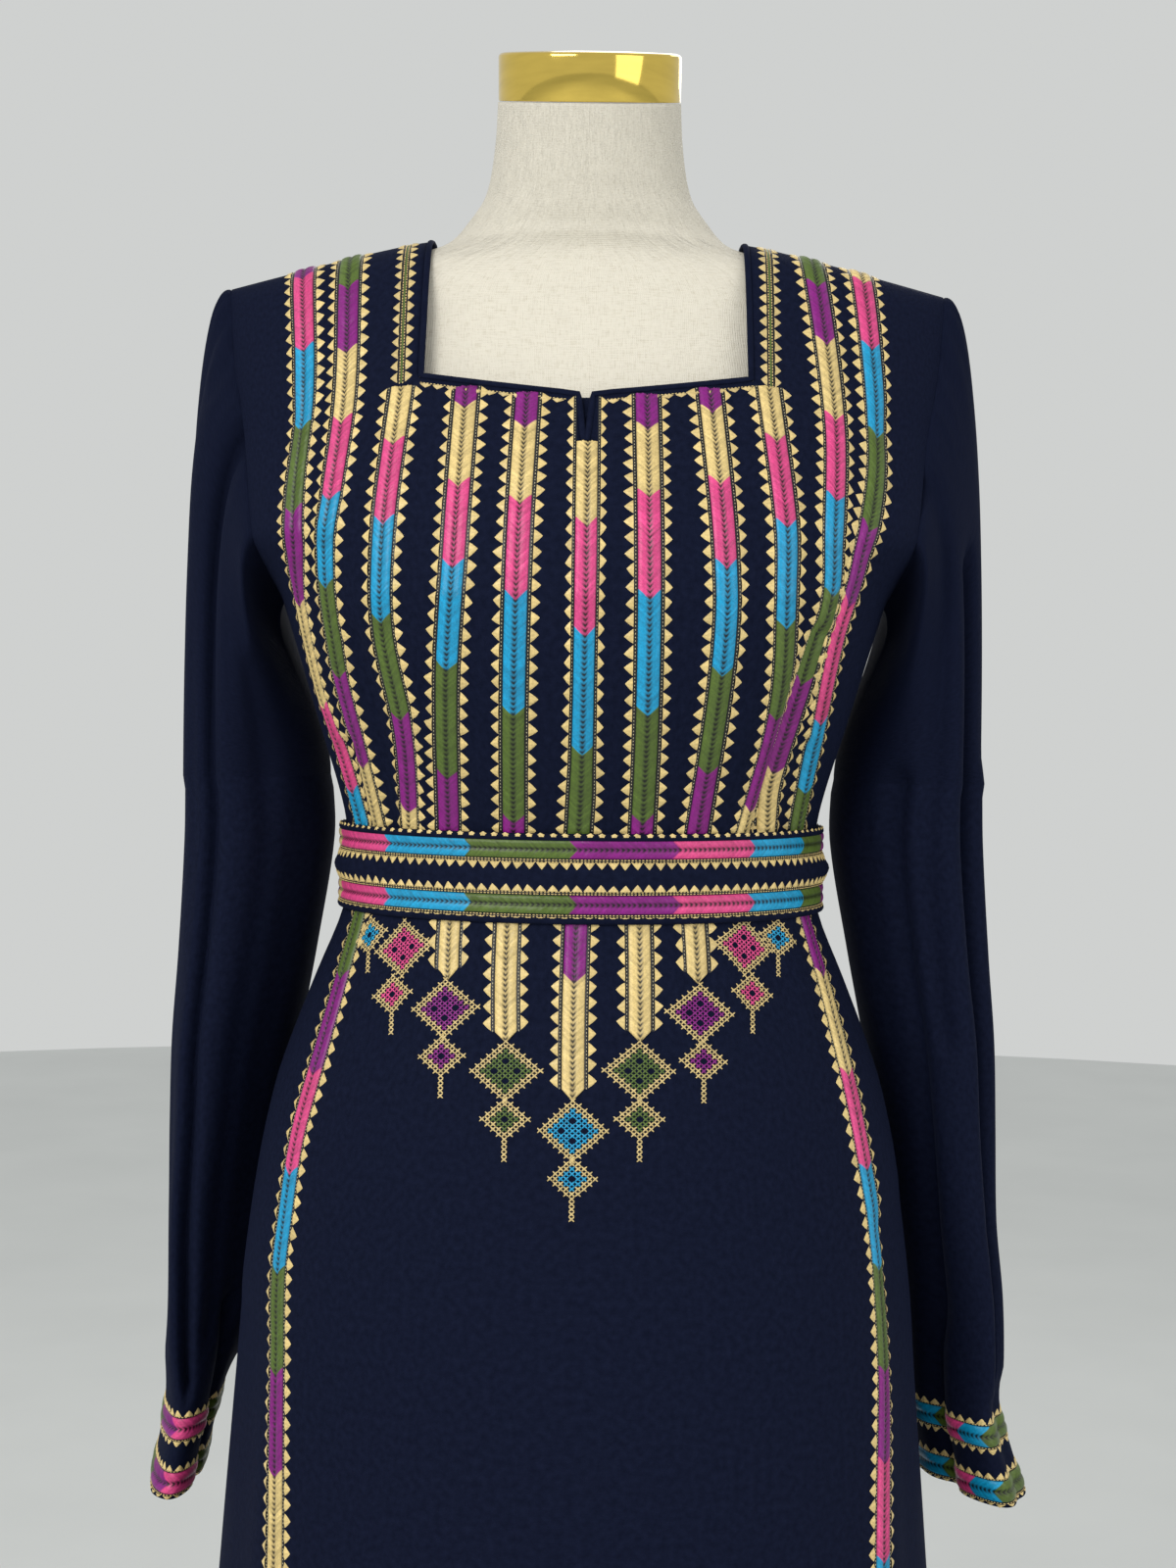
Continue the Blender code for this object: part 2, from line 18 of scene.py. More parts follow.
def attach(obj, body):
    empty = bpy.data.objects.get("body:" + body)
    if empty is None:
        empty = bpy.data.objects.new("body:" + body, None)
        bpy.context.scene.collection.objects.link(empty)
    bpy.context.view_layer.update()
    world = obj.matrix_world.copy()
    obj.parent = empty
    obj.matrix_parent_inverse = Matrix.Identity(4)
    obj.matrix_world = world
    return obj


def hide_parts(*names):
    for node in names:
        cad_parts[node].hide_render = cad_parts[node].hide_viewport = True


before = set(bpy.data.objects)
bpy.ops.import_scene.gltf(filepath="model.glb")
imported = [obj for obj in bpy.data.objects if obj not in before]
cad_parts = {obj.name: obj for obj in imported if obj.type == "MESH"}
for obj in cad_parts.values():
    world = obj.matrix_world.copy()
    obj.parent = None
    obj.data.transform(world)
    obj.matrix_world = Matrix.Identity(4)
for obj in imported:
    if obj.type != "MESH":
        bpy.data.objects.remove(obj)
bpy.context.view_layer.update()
LOG = logging.getLogger("thobe")
ROOT = "root"

# ---- sizes shared with the solid model ----------------------------------------------------
UNDERARM = 1.198
NECK_POINT = 1.400
SHOULDER_DROP = 0.027
NECK_HALF = 0.088
SHOULDER_HALF = 0.200
CHEST_DEPTH = 0.140
BLADE_DEPTH = 0.104
YOKE_HALF = 0.205
YOKE_SPAN = 0.26  # rows above the underarm run over this much for a quarter turn
NECK_TURN = 42.6
SLIT_TURN = 29.0
BACK_NECK_TURN = 58.0
NECK_COLUMN = 28.39
BELT_LOW = 1.0318
BELT_HIGH = 1.0712
BELT_OUT = 0.0034
LAP_LIFT = 0.0048
LAP_LENGTH = 0.030
HEM = 0.030
WAIST_ROW = 1.0275  # the rows of the lengths change pitch here
HEAD_ROWS = 0.9  # rows of a sleeve from the armhole to its first hanging ring
CREASE_SCALE = 0.0008  # turns degrees round a sleeve into the places of its creases
SATIN_PITCH = 0.0007
SAMPLE_STEP = 0.0015
CELL = 0.002
THREAD_RUN = 0.056  # length of one thread round the belt

# height, half width, front depth, back depth, squareness of the dress below the underarm
BODY = (
    (0.030, 0.272, 0.208, 0.222, 2.00),
    (0.150, 0.256, 0.195, 0.207, 2.00),
    (0.300, 0.238, 0.180, 0.189, 2.03),
    (0.450, 0.2225, 0.166, 0.174, 2.06),
    (0.600, 0.2075, 0.152, 0.159, 2.10),
    (0.708, 0.1985, 0.145, 0.150, 2.12),
    (0.764, 0.1940, 0.141, 0.145, 2.15),
    (0.819, 0.1895, 0.136, 0.139, 2.15),
    (0.886, 0.1805, 0.130, 0.130, 2.12),
    (0.930, 0.1710, 0.124, 0.121, 2.10),
    (0.958, 0.1615, 0.118, 0.113, 2.08),
    (0.990, 0.1490, 0.110, 0.103, 2.05),
    (1.028, 0.1340, 0.1010, 0.0900, 2.02),
    (1.052, 0.1325, 0.0990, 0.0870, 2.00),
    (1.075, 0.1330, 0.1005, 0.0880, 2.00),
    (1.097, 0.1380, 0.110, 0.092, 2.00),
    (1.130, 0.1480, 0.124, 0.097, 2.10),
    (1.165, 0.1580, 0.135, 0.101, 2.25),
    (1.198, 0.1680, 0.140, 0.104, 2.30),
)
# angle from centre front, half spread, depth at the hem, height where it dies out
FOLDS = (
    (-49, 12, 0.016, 0.60),
    (-75, 11, 0.029, 0.69),
    (-105, 11, 0.029, 0.69),
    (-130, 12, 0.033, 0.72),
    (-155, 11, 0.026, 0.80),
    (180, 20, 0.016, 0.88),
    (156, 10, 0.024, 0.76),
    (131, 12, 0.032, 0.70),
    (103, 11, 0.027, 0.68),
    (77, 11, 0.027, 0.68),
    (52, 12, 0.020, 0.66),
    (24, 14, 0.009, 0.45),
    (-20, 14, 0.011, 0.48),
)
# turn over the front yoke, share of the height to the shoulder, share of the chest's depth
CHEST = (
    (0.0, 0.0, 1.0),
    (7.0, 0.10, 0.985),
    (15.0, 0.21, 0.945),
    (26.7, 0.36, 0.835),
    (42.6, 0.554, 0.665),
    (54.5, 0.70, 0.540),
    (62.6, 0.80, 0.455),
    (69.5, 0.88, 0.370),
    (75.4, 0.94, 0.285),
    (81.7, 0.98, 0.170),
    (90.0, 1.0, 0.0),
)
# turn over the yoke, half width of the body at the armhole edge there
ARMHOLE = (
    (0.0, 0.1680),
    (4.0, 0.1720),
    (10.0, 0.1760),
    (19.0, 0.1800),
    (40.0, 0.1865),
    (58.0, 0.1945),
    (75.0, 0.1985),
    (90.0, 0.2000),
)
# height, centre across, centre back, half across, half fore and aft, lean round the skirt
SLEEVE = (
    (0.683, 0.2205, 0.059, 0.0252, 0.059, 0.28),
    (0.710, 0.2165, 0.057, 0.0232, 0.056, 0.28),
    (0.734, 0.2130, 0.055, 0.0222, 0.054, 0.28),
    (0.765, 0.2128, 0.053, 0.0238, 0.056, 0.27),
    (0.800, 0.2117, 0.050, 0.0248, 0.056, 0.26),
    (0.850, 0.2085, 0.045, 0.0265, 0.056, 0.25),
    (0.900, 0.2050, 0.039, 0.0295, 0.056, 0.22),
    (0.950, 0.1995, 0.033, 0.0325, 0.056, 0.24),
    (1.000, 0.1925, 0.028, 0.0355, 0.055, 0.24),
    (1.064, 0.1850, 0.021, 0.0385, 0.054, 0.26),
    (1.100, 0.1850, 0.018, 0.0375, 0.054, 0.26),
)
LEFT_SLEEVE_OUT = ((0.683, 0.016), (0.734, 0.011), (0.80, 0.008), (0.85, 0.004), (1.0, 0.002), (1.1, 0.0))
# the right cuff hangs narrower and straighter: height, further out, half across, lean
RIGHT_CUFF = (
    (0.683, 0.0175, -0.0102, -0.36),
    (0.710, 0.0155, -0.0078, -0.34),
    (0.734, 0.0140, -0.0058, -0.31),
    (0.765, 0.0072, -0.0035, -0.17),
    (0.800, 0.0008, -0.0006, -0.04),
    (0.850, 0.0, 0.0, 0.0),
    (1.100, 0.0, 0.0, 0.0),
)
# place round the sleeve (0 outside, 90 front), half spread, depth, top height, bottom height
SLEEVE_CREASES = (
    (52, 30, 0.0075, 1.30, 0.70),
    (150, 30, 0.0050, 1.12, 0.80),
    (235, 34, 0.0070, 1.28, 0.72),
    (315, 30, 0.0060, 1.24, 0.74),
)
SLEEVE_TURNS = (90.0, 76.0, 63.0, 50.0, 39.0, 29.5, 20.1, 13.0, 7.0, 3.0, 0.0)
# height, half width, front, back, squareness, forward shift, tilt of the ring
TORSO = (
    (0.720, 0.158, 0.108, 0.110, 2.2, 0.000, 0.0),
    (0.740, 0.172, 0.120, 0.122, 2.2, 0.000, 0.0),
    (0.819, 0.178, 0.125, 0.127, 2.2, 0.000, 0.0),
    (0.886, 0.1695, 0.119, 0.118, 2.2, 0.000, 0.0),
    (0.958, 0.1505, 0.107, 0.101, 2.1, 0.000, 0.0),
    (1.010, 0.1320, 0.096, 0.087, 2.0, 0.000, 0.0),
    (1.052, 0.1240, 0.0905, 0.0785, 2.0, 0.000, 0.0),
    (1.097, 0.1290, 0.101, 0.082, 2.0, 0.000, 0.0),
    (1.150, 0.1425, 0.120, 0.092, 2.0, 0.000, 0.0),
    (1.198, 0.1540, 0.1285, 0.096, 2.15, 0.000, 0.0),
    (1.255, 0.1600, 0.1125, 0.095, 2.1, 0.000, 0.0),
    (1.310, 0.1680, 0.0830, 0.087, 2.0, 0.000, 0.0),
    (1.345, 0.1760, 0.0630, 0.074, 2.0, 0.000, 0.0),
    (1.362, 0.1750, 0.0555, 0.065, 2.0, 0.000, 0.0),
    (1.375, 0.1590, 0.0510, 0.056, 2.0, 0.000, 0.0),
    (1.383, 0.1360, 0.0475, 0.050, 2.0, 0.001, 0.0),
    (1.389, 0.1080, 0.0460, 0.046, 2.0, 0.002, 0.0),
    (1.3935, 0.0890, 0.0465, 0.044, 2.0, 0.003, 0.0),
    (1.3975, 0.0790, 0.0475, 0.044, 2.0, 0.004, 0.01),
    (1.4035, 0.0722, 0.0480, 0.045, 2.0, 0.004, 0.03),
    (1.4090, 0.0677, 0.0485, 0.045, 2.0, 0.005, 0.05),
    (1.4150, 0.0630, 0.0490, 0.046, 2.0, 0.006, 0.07),
    (1.4220, 0.0584, 0.0490, 0.046, 2.0, 0.007, 0.10),
    (1.4330, 0.0548, 0.0490, 0.047, 2.0, 0.009, 0.14),
    (1.4540, 0.0518, 0.0490, 0.048, 2.0, 0.012, 0.21),
    (1.4750, 0.0506, 0.0495, 0.0495, 2.0, 0.015, 0.27),
)
CAP_PROFILE = (
    (0.0, 0.0272),
    (0.0300, 0.0267),
    (0.0475, 0.0260),
    (0.0492, 0.0255),
    (0.0501, 0.0246),
    (0.0504, 0.0236),
    (0.0504, 0.0012),
    (0.0501, 0.0006),
    (0.0496, 0.0004),
    (0.0, 0.0004),
)
POLE_PROFILE = ((0.0, 0.7196), (0.0150, 0.7196), (0.0150, 0.0214), (0.0, 0.0214))
BASE_PROFILE = (
    (0.0, 0.0210),
    (0.0220, 0.0210),
    (0.0260, 0.0200),
    (0.1300, 0.0125),
    (0.1700, 0.0088),
    (0.1745, 0.0074),
    (0.1760, 0.0052),
    (0.1760, 0.0),
    (0.0, 0.0),
)


# ---- reading tables -----------------------------------------------------------------------
def smooth_step(value: np.ndarray) -> np.ndarray:
    """0 below 0, 1 above 1, and a smooth ramp between."""
    value = np.clip(value, 0.0, 1.0)
    return value * value * (3.0 - 2.0 * value)


def unit(vectors: np.ndarray) -> np.ndarray:
    """The vectors brought to a length of 1."""
    return vectors / np.maximum(np.linalg.norm(vectors, axis=1, keepdims=True), 1e-12)


def hermite(
    start: np.ndarray, leave: np.ndarray, end: np.ndarray, arrive: np.ndarray, s: np.ndarray
) -> np.ndarray:
    """A smooth run from start to end with these slopes, at shares s."""
    return (
        start * (2 * s**3 - 3 * s**2 + 1)
        + leave * (s**3 - 2 * s**2 + s)
        + end * (3 * s**2 - 2 * s**3)
        + arrive * (s**3 - s**2)
    )


def turned_from(angle: np.ndarray, centre: float) -> np.ndarray:
    """How far the angle is from the centre, from -180 to 180 degrees."""
    return (angle - centre + 180.0) % 360.0 - 180.0


def row_of(turn: np.ndarray | float) -> np.ndarray | float:
    """The row of a turn over the yoke."""
    return UNDERARM + turn / 90.0 * YOKE_SPAN


def turn_of(row: np.ndarray | float) -> np.ndarray | float:
    """The turn over the yoke at a row."""
    return (row - UNDERARM) / YOKE_SPAN * 90.0


def read_table(table: tuple, keys: np.ndarray) -> list[np.ndarray]:
    """Reads a table smoothly.

    Args:
        table: Rows sorted by their first column.
        keys: Values of the first column to read at.

    Returns:
        The other columns, each with one value per key.
    """
    rows = np.asarray(table, float)
    first = rows[:, 0]
    keys = np.clip(np.asarray(keys, float), first[0], first[-1])
    low = np.clip(np.searchsorted(first, keys, side="right") - 1, 0, len(first) - 2)
    before, after = np.maximum(low - 1, 0), np.minimum(low + 2, len(first) - 1)
    span = first[low + 1] - first[low]
    s = (keys - first[low]) / span
    columns = []
    for k in range(1, rows.shape[1]):
        column = rows[:, k]
        slope_low = (column[low + 1] - column[before]) / (first[low + 1] - first[before])
        slope_high = (column[after] - column[low]) / (first[after] - first[low])
        columns.append(hermite(column[low], slope_low * span, column[low + 1], slope_high * span, s))
    return columns


def signed_power(value: np.ndarray, power: np.ndarray | float) -> np.ndarray:
    """The value raised to a power, keeping its sign."""
    return np.sign(value) * np.abs(value) ** power


@dataclass(frozen=True)
class Crease:
    """A soft ridge (depth above 0) or trough along a line of (across, height) spots."""

    spots: tuple[tuple[float, float], ...]
    width: float
    depth: float

    def height_at(self, across: np.ndarray, up: np.ndarray) -> np.ndarray:
        """How far the crease lifts the cloth at these places."""
        nearest = np.full(np.shape(across), 1e9)
        for (x0, z0), (x1, z1) in zip(self.spots, self.spots[1:]):
            dx, dz = x1 - x0, z1 - z0
            share = np.clip(((across - x0) * dx + (up - z0) * dz) / (dx * dx + dz * dz), 0.0, 1.0)
            nearest = np.minimum(nearest, (across - x0 - share * dx) ** 2 + (up - z0 - share * dz) ** 2)
        return self.depth * np.exp(-nearest / self.width**2)


# ---- surfaces -----------------------------------------------------------------------------
class Surface:
    """A smooth sheet found from two numbers, p across and q along."""

    step_p: float = 0.05
    step_q: float = 0.0002
    facing: float = 1.0

    def point(self, p: np.ndarray, q: np.ndarray) -> np.ndarray:
        """The places of the sheet at p and q, one row each."""
        raise NotImplementedError

    def slopes(self, p: np.ndarray, q: np.ndarray) -> tuple[np.ndarray, np.ndarray]:
        """How the place changes with p and with q."""
        along_p = (self.point(p + self.step_p, q) - self.point(p - self.step_p, q)) / (2 * self.step_p)
        along_q = (self.point(p, q + self.step_q) - self.point(p, q - self.step_q)) / (2 * self.step_q)
        return along_p, along_q

    def normal(self, p: np.ndarray, q: np.ndarray) -> np.ndarray:
        """The outward unit normals at p and q."""
        along_p, along_q = self.slopes(p, q)
        return unit(np.cross(along_p, along_q) * self.facing)


def fold_depth(angle: np.ndarray, height: np.ndarray) -> np.ndarray:
    """How far the skirt's folds push the cloth in or out."""
    total = np.zeros(np.broadcast(angle, height).shape)
    for centre, spread, depth, top in FOLDS:
        away = turned_from(angle, centre)
        reach = (top - height) / (top - HEM)
        total += depth * smooth_step(reach) * (np.exp(-((away / spread) ** 2) * 2.2) - 0.05)
    return total


def oval(
    turn: np.ndarray, half: np.ndarray, front: np.ndarray, back: np.ndarray, square: np.ndarray
) -> tuple[np.ndarray, np.ndarray]:
    """X and Y of a rounded ring that is deeper in front than behind, or the other way round."""
    ahead = np.cos(turn)
    x = half * signed_power(np.sin(turn), 2 / square)
    return x, -np.where(ahead >= 0, front, back) * signed_power(ahead, 2 / square)


def section_point(angle: np.ndarray, height: np.ndarray, outward: np.ndarray | float = 0.0) -> np.ndarray:
    """Points of the dress below the underarm. Angle 0 is centre front, 90 is the +X side."""
    half, front, back, square = read_table(BODY, height)
    turn = np.radians(angle)
    x, y = oval(turn, half, front, back, square)
    push = outward + fold_depth(angle, height)
    return np.stack([x + push * np.sin(turn), y - push * np.cos(turn), height + 0.0 * x], axis=1)


def yoke_point(angle: np.ndarray, turn: np.ndarray, behind: bool) -> np.ndarray:
    """Points above the underarm, as (x, depth, z). Turn 90 is the shoulder seam."""
    half, low_square = BODY[-1][1], BODY[-1][4]
    depth = BLADE_DEPTH if behind else CHEST_DEPTH
    share = np.abs(np.sin(np.radians(angle)))
    start = half * share ** (2 / low_square)
    widen = np.clip((start - NECK_HALF) / (half - NECK_HALF), 0.0, None) ** 1.5
    x = start + (read_table(ARMHOLE, turn)[0] - half) * widen
    reach = start + (SHOULDER_HALF - half) * widen
    top = NECK_POINT - SHOULDER_DROP * (
        np.clip((reach - NECK_HALF) / (SHOULDER_HALF - NECK_HALF), 0.0, None) ** 1.15
    )
    if behind:
        quarter = np.radians(np.clip(turn, 0.0, 90.0))
        rise = np.sin(quarter) ** (2 / 2.4)
        fall = np.clip(np.cos(quarter), 0.0, None) ** (2 / 2.4)
    else:
        rise, fall = read_table(CHEST, turn)
    low = depth * np.clip(1.0 - share**2, 0.0, None) ** (1 / low_square)
    high = depth * np.sqrt(np.clip(1.0 - (x / YOKE_HALF) ** 2, 0.0, None))
    mixed = low + (high - low) * smooth_step(turn / (24.0 - 10.0 * share))
    return np.stack([np.copysign(x, angle), mixed * fall, UNDERARM + (top - UNDERARM) * rise], axis=1)


class DressSide(Surface):
    """The front or the back of the dress. p is degrees from its centre line, q the row.

    Rows are heights below the underarm. Above it they go on evenly up to the shoulder.
    """

    def __init__(self, behind: bool, creases: tuple[Crease, ...]) -> None:
        """Keeps the side and its creases."""
        self.behind = behind
        self.creases = creases

    def plain(self, p: np.ndarray, q: np.ndarray) -> np.ndarray:
        """The sheet before its creases."""
        p, q = np.broadcast_arrays(np.asarray(p, float), np.asarray(q, float))
        low = section_point(180.0 + p if self.behind else p, np.minimum(q, UNDERARM))
        turn = np.clip(turn_of(q), 0.0, 90.0)
        high = yoke_point(-p if self.behind else p, turn, self.behind)
        if not self.behind:
            high[:, 1] *= -1.0
        return np.where((q > UNDERARM)[:, None], high, low)

    def point(self, p: np.ndarray, q: np.ndarray) -> np.ndarray:
        """The sheet with its creases."""
        base = self.plain(p, q)
        lift = np.zeros(len(base))
        for crease in self.creases:
            lift += crease.height_at(base[:, 0], base[:, 2])
        along_p = self.plain(p + 0.2, q) - self.plain(p - 0.2, q)
        along_q = self.plain(p, q + 0.001) - self.plain(p, q - 0.001)
        return base + unit(np.cross(along_p, along_q)) * lift[:, None]

    def find(self, x: np.ndarray, z: np.ndarray) -> tuple[np.ndarray, np.ndarray]:
        """The p and q where the sheet is at this x and this height."""
        x, z = np.asarray(x, float), np.asarray(z, float)
        side = -1.0 if self.behind else 1.0
        p, q = side * x / 0.2 * 60.0, z.copy()
        for _ in range(24):
            here = self.plain(p, q)
            slope_p = (self.plain(p + 0.1, q) - here) / 0.1
            slope_q = (self.plain(p, q + 0.0005) - here) / 0.0005
            wrong_x, wrong_z = here[:, 0] - x, here[:, 2] - z
            det = slope_p[:, 0] * slope_q[:, 2] - slope_q[:, 0] * slope_p[:, 2]
            det = np.where(np.abs(det) < 1e-9, 1e-9, det)
            move_p = (wrong_x * slope_q[:, 2] - wrong_z * slope_q[:, 0]) / det
            move_q = (wrong_z * slope_p[:, 0] - wrong_x * slope_p[:, 2]) / det
            p = np.clip(p - np.clip(move_p, -12.0, 12.0) * 0.8, -89.5, 89.5)
            q = np.clip(q - np.clip(move_q, -0.05, 0.05) * 0.8, HEM, UNDERARM + YOKE_SPAN)
        return p, q


class SleeveSurface(Surface):
    """A sleeve. p is degrees round it (0 outside, 90 front), q the row from the armhole.

    Rows up to HEAD_ROWS run from the armhole to the first hanging ring, larger rows are 2 - height.
    """

    step_p = 0.1
    step_q = 0.0005

    def __init__(self, side: float, creases: tuple[Crease, ...]) -> None:
        """Keeps the side, +1 for the wearer's left, and the fine creases."""
        self.side = side
        self.facing = side
        self.creases = creases

    def ring(self, p: np.ndarray, height: np.ndarray) -> np.ndarray:
        """The hanging part before its creases."""
        across, behind, half, deep, lean = read_table(SLEEVE, height)
        if self.side > 0:
            out = read_table(LEFT_SLEEVE_OUT, height)[0]
        else:
            out, wider, turned = read_table(RIGHT_CUFF, height)
            half, lean = half + wider, lean + turned
        turn = np.radians(p)
        y = -deep * np.sin(turn)
        return np.stack([across + out + half * np.cos(turn) - lean * y, behind + y, height + 0 * y], axis=1)

    def edge(self, p: np.ndarray) -> np.ndarray:
        """The armhole's edge at these places round the sleeve."""
        p = p % 360.0
        share = np.where(p <= 180.0, p, 360.0 - p) / 18.0
        turn = np.interp(share, np.arange(11), SLEEVE_TURNS)
        side = np.full(len(p), 90.0)
        ahead, behind = yoke_point(side, turn, False), yoke_point(side, turn, True)
        ahead[:, 1] *= -1.0
        return np.where((p <= 180.0)[:, None], ahead, behind)

    def point(self, p: np.ndarray, q: np.ndarray) -> np.ndarray:
        """The sleeve with all its creases."""
        p, q = np.broadcast_arrays(np.asarray(p, float), np.asarray(q, float))
        height = np.where(q <= HEAD_ROWS, SLEEVE[-1][0], 2.0 - q)
        ring = self.ring(p, height)
        s = np.clip(q / HEAD_ROWS, 0.0, 1.0)[:, None]
        up = 0.5 + 0.5 * np.cos(np.radians(p))
        leave = np.stack([0.035 + 0.035 * up, 0 * up, -0.07 + 0.075 * up], axis=1)
        arrive = np.stack([0 * up, 0 * up, -0.12 - 0.14 * up], axis=1)
        blend = hermite(self.edge(p), leave, ring, arrive, s)
        blend[:, 0] += 0.0012
        found = np.where((q <= HEAD_ROWS)[:, None], blend, ring)
        draw = np.zeros(len(found))
        for centre, spread, depth, top, bottom in SLEEVE_CREASES:
            away = turned_from(p, centre)
            ends = smooth_step((top - found[:, 2]) / 0.08) * smooth_step((found[:, 2] - bottom) / 0.04 + 1.0)
            draw += depth * ends * np.exp(-((away / spread) ** 2) * 2.5)
        draw *= np.where(q > HEAD_ROWS, 1.0, smooth_step((q / HEAD_ROWS - 0.2) / 0.8))
        for crease in self.creases:
            for turned in (p - 360.0, p, p + 360.0):
                draw -= crease.height_at(turned * CREASE_SCALE, found[:, 2])
        # small gathers where the head of the sleeve is eased into the armhole
        turn = np.radians(p)
        head = smooth_step(1.0 + np.cos(turn) - 0.5)
        near = np.exp(-((q / 0.16) ** 2)) * smooth_step(q / 0.03)
        draw -= 0.0011 * head * near * np.sin(turn * 34.0 + 3.0 * np.sin(turn * 5.0))
        found[:, 0] = self.side * (found[:, 0] - draw * np.cos(turn))
        found[:, 1] += draw * np.sin(turn)
        return found


class BeltSurface(Surface):
    """The outside of the belt. p runs 0 to 1 from under the lap round to the lap's end."""

    step_p = 0.0004
    facing = -1.0

    def point(self, p: np.ndarray, q: np.ndarray) -> np.ndarray:
        """The belt at this share of its length and this height."""
        p, q = np.broadcast_arrays(np.asarray(p, float), np.asarray(q, float))
        lap = math.degrees(LAP_LENGTH / 0.0872)
        angle = 180.0 - lap / 2 - (360.0 + lap) * p
        turned = lap + 22.0 - (360.0 + lap) * (1.0 - p)
        lift = LAP_LIFT * smooth_step(turned / 20.0)
        across = (q - (BELT_LOW + BELT_HIGH) / 2) / ((BELT_HIGH - BELT_LOW) / 2)
        at_sides = np.exp(-((((angle + 180.0) % 180.0 - 90.0) / 26.0) ** 2))
        puff = (0.0008 + 0.0034 * at_sides) * np.exp(-((across / 0.30) ** 2))
        wave = 0.0005 * np.sin(np.radians(angle) * 9.0 + across * 2.0) * np.exp(-((across / 0.35) ** 2))
        return section_point(angle, q, BELT_OUT + lift + puff + wave)


# ---- stitching ----------------------------------------------------------------------------
class Thread(Enum):
    """The embroidery threads, as display colours from 0 to 255."""

    CREAM = (228, 202, 138)
    GOLD = (214, 190, 132)
    PINK = (222, 78, 138)
    BLUE = (14, 156, 204)
    GREEN = (84, 106, 40)
    PURPLE = (134, 24, 126)
    OUTLINE = (9, 8, 12)
    BEAD = (205, 196, 160)

    @property
    def linear(self) -> np.ndarray:
        """The colour in linear light."""
        display = np.array(self.value, float) / 255.0
        light = np.where(display <= 0.04045, display / 12.92, ((display + 0.055) / 1.055) ** 2.4)
        grey = light.mean()
        return np.clip(grey + (light - grey) * 1.05, 0.002, 0.95)


REPEAT = (Thread.PURPLE, Thread.CREAM, Thread.PINK, Thread.BLUE, Thread.GREEN)


def unit_grid(wide: int, tall: int) -> tuple[np.ndarray, np.ndarray]:
    """A flat grid of triangles.

    Args:
        wide: Cells across.
        tall: Cells along.

    Returns:
        Whole-number places (column, row) of its corners, and its triangles.
    """
    mesh = bmesh.new()
    bmesh.ops.create_grid(mesh, x_segments=wide, y_segments=tall, size=0.5)
    bmesh.ops.triangulate(mesh, faces=mesh.faces)
    spots = np.array([vertex.co[:2] for vertex in mesh.verts])
    faces = np.array([[vertex.index for vertex in face.verts] for face in mesh.faces])
    mesh.free()
    return np.rint((spots + 0.5) * (wide, tall)).astype(int), faces


def unit_lens() -> tuple[np.ndarray, np.ndarray]:
    """A six-sided dome of radius 1 and height 1, and its triangles."""
    mesh = bmesh.new()
    bmesh.ops.create_circle(mesh, cap_ends=True, cap_tris=True, segments=6, radius=1.0)
    spots = np.array([tuple(vertex.co) for vertex in mesh.verts])
    faces = np.array([[vertex.index for vertex in face.verts] for face in mesh.faces])
    mesh.free()
    middle = np.linalg.norm(spots, axis=1) < 0.5
    spots[middle, 2] = 1.0
    spots[~middle, 2] = -0.2
    return spots, faces


class Strip:
    """A band of cloth along a line on a surface, on which stitches are laid."""

    def __init__(self, surface: Surface, p: np.ndarray, q: np.ndarray, reach: float) -> None:
        """Follows the line.

        Args:
            surface: The sheet below the stitches.
            p: The line's places across the sheet.
            q: The line's places along the sheet.
            reach: How far the stitches spread to each side, in metres.
        """
        places = surface.point(p, q)
        gone = np.concatenate([[0.0], np.cumsum(np.linalg.norm(np.diff(places, axis=0), axis=1))])
        self.length = float(gone[-1])
        count = max(int(self.length / SAMPLE_STEP), 4)
        along = np.linspace(0.0, self.length, count + 1)
        self.step = self.length / count
        p, q = np.interp(along, gone, p), np.interp(along, gone, q)
        self.centre = surface.point(p, q)
        side = unit(np.cross(surface.normal(p, q), unit(np.gradient(self.centre, axis=0))))
        along_p, along_q = surface.slopes(p, q)
        pp, pq, qq = (along_p**2).sum(1), (along_p * along_q).sum(1), (along_q**2).sum(1)
        on_p, on_q = (along_p * side).sum(1), (along_q * side).sum(1)
        det = pp * qq - pq**2
        move_p, move_q = (on_p * qq - on_q * pq) / det, (on_q * pp - on_p * pq) / det
        half = int(math.ceil(reach / CELL))
        self.reach = half * CELL
        offsets = np.arange(-half, half + 1) * CELL
        spread_p = (p[:, None] + move_p[:, None] * offsets).ravel()
        spread_q = (q[:, None] + move_q[:, None] * offsets).ravel()
        shape = (len(p), len(offsets), 3)
        self.spots = surface.point(spread_p, spread_q).reshape(shape)
        self.outs = surface.normal(spread_p, spread_q).reshape(shape)

    def at(self, along: np.ndarray, across: np.ndarray, up: np.ndarray) -> np.ndarray:
        """The places this far along, across and above the cloth, in metres."""
        along, across, up = np.broadcast_arrays(along, across, up)
        i_full, k_full = along / self.step, (across + self.reach) / CELL
        i = np.clip(i_full.astype(int), 0, self.spots.shape[0] - 2)
        k = np.clip(k_full.astype(int), 0, self.spots.shape[1] - 2)
        s, t = (i_full - i)[:, None], (k_full - k)[:, None]

        def mix(samples: np.ndarray) -> np.ndarray:
            """The value between the samples."""
            near = samples[i, k] * (1 - t) + samples[i, k + 1] * t
            far = samples[i + 1, k] * (1 - t) + samples[i + 1, k + 1] * t
            return near * (1 - s) + far * s

        return mix(self.spots) + mix(self.outs) * up[:, None]

    def along_at(self, height: float) -> float:
        """How far along a falling line reaches this height."""
        heights = self.centre[::-1, 2]
        return float(np.interp(height, heights, np.arange(len(heights))[::-1] * self.step))


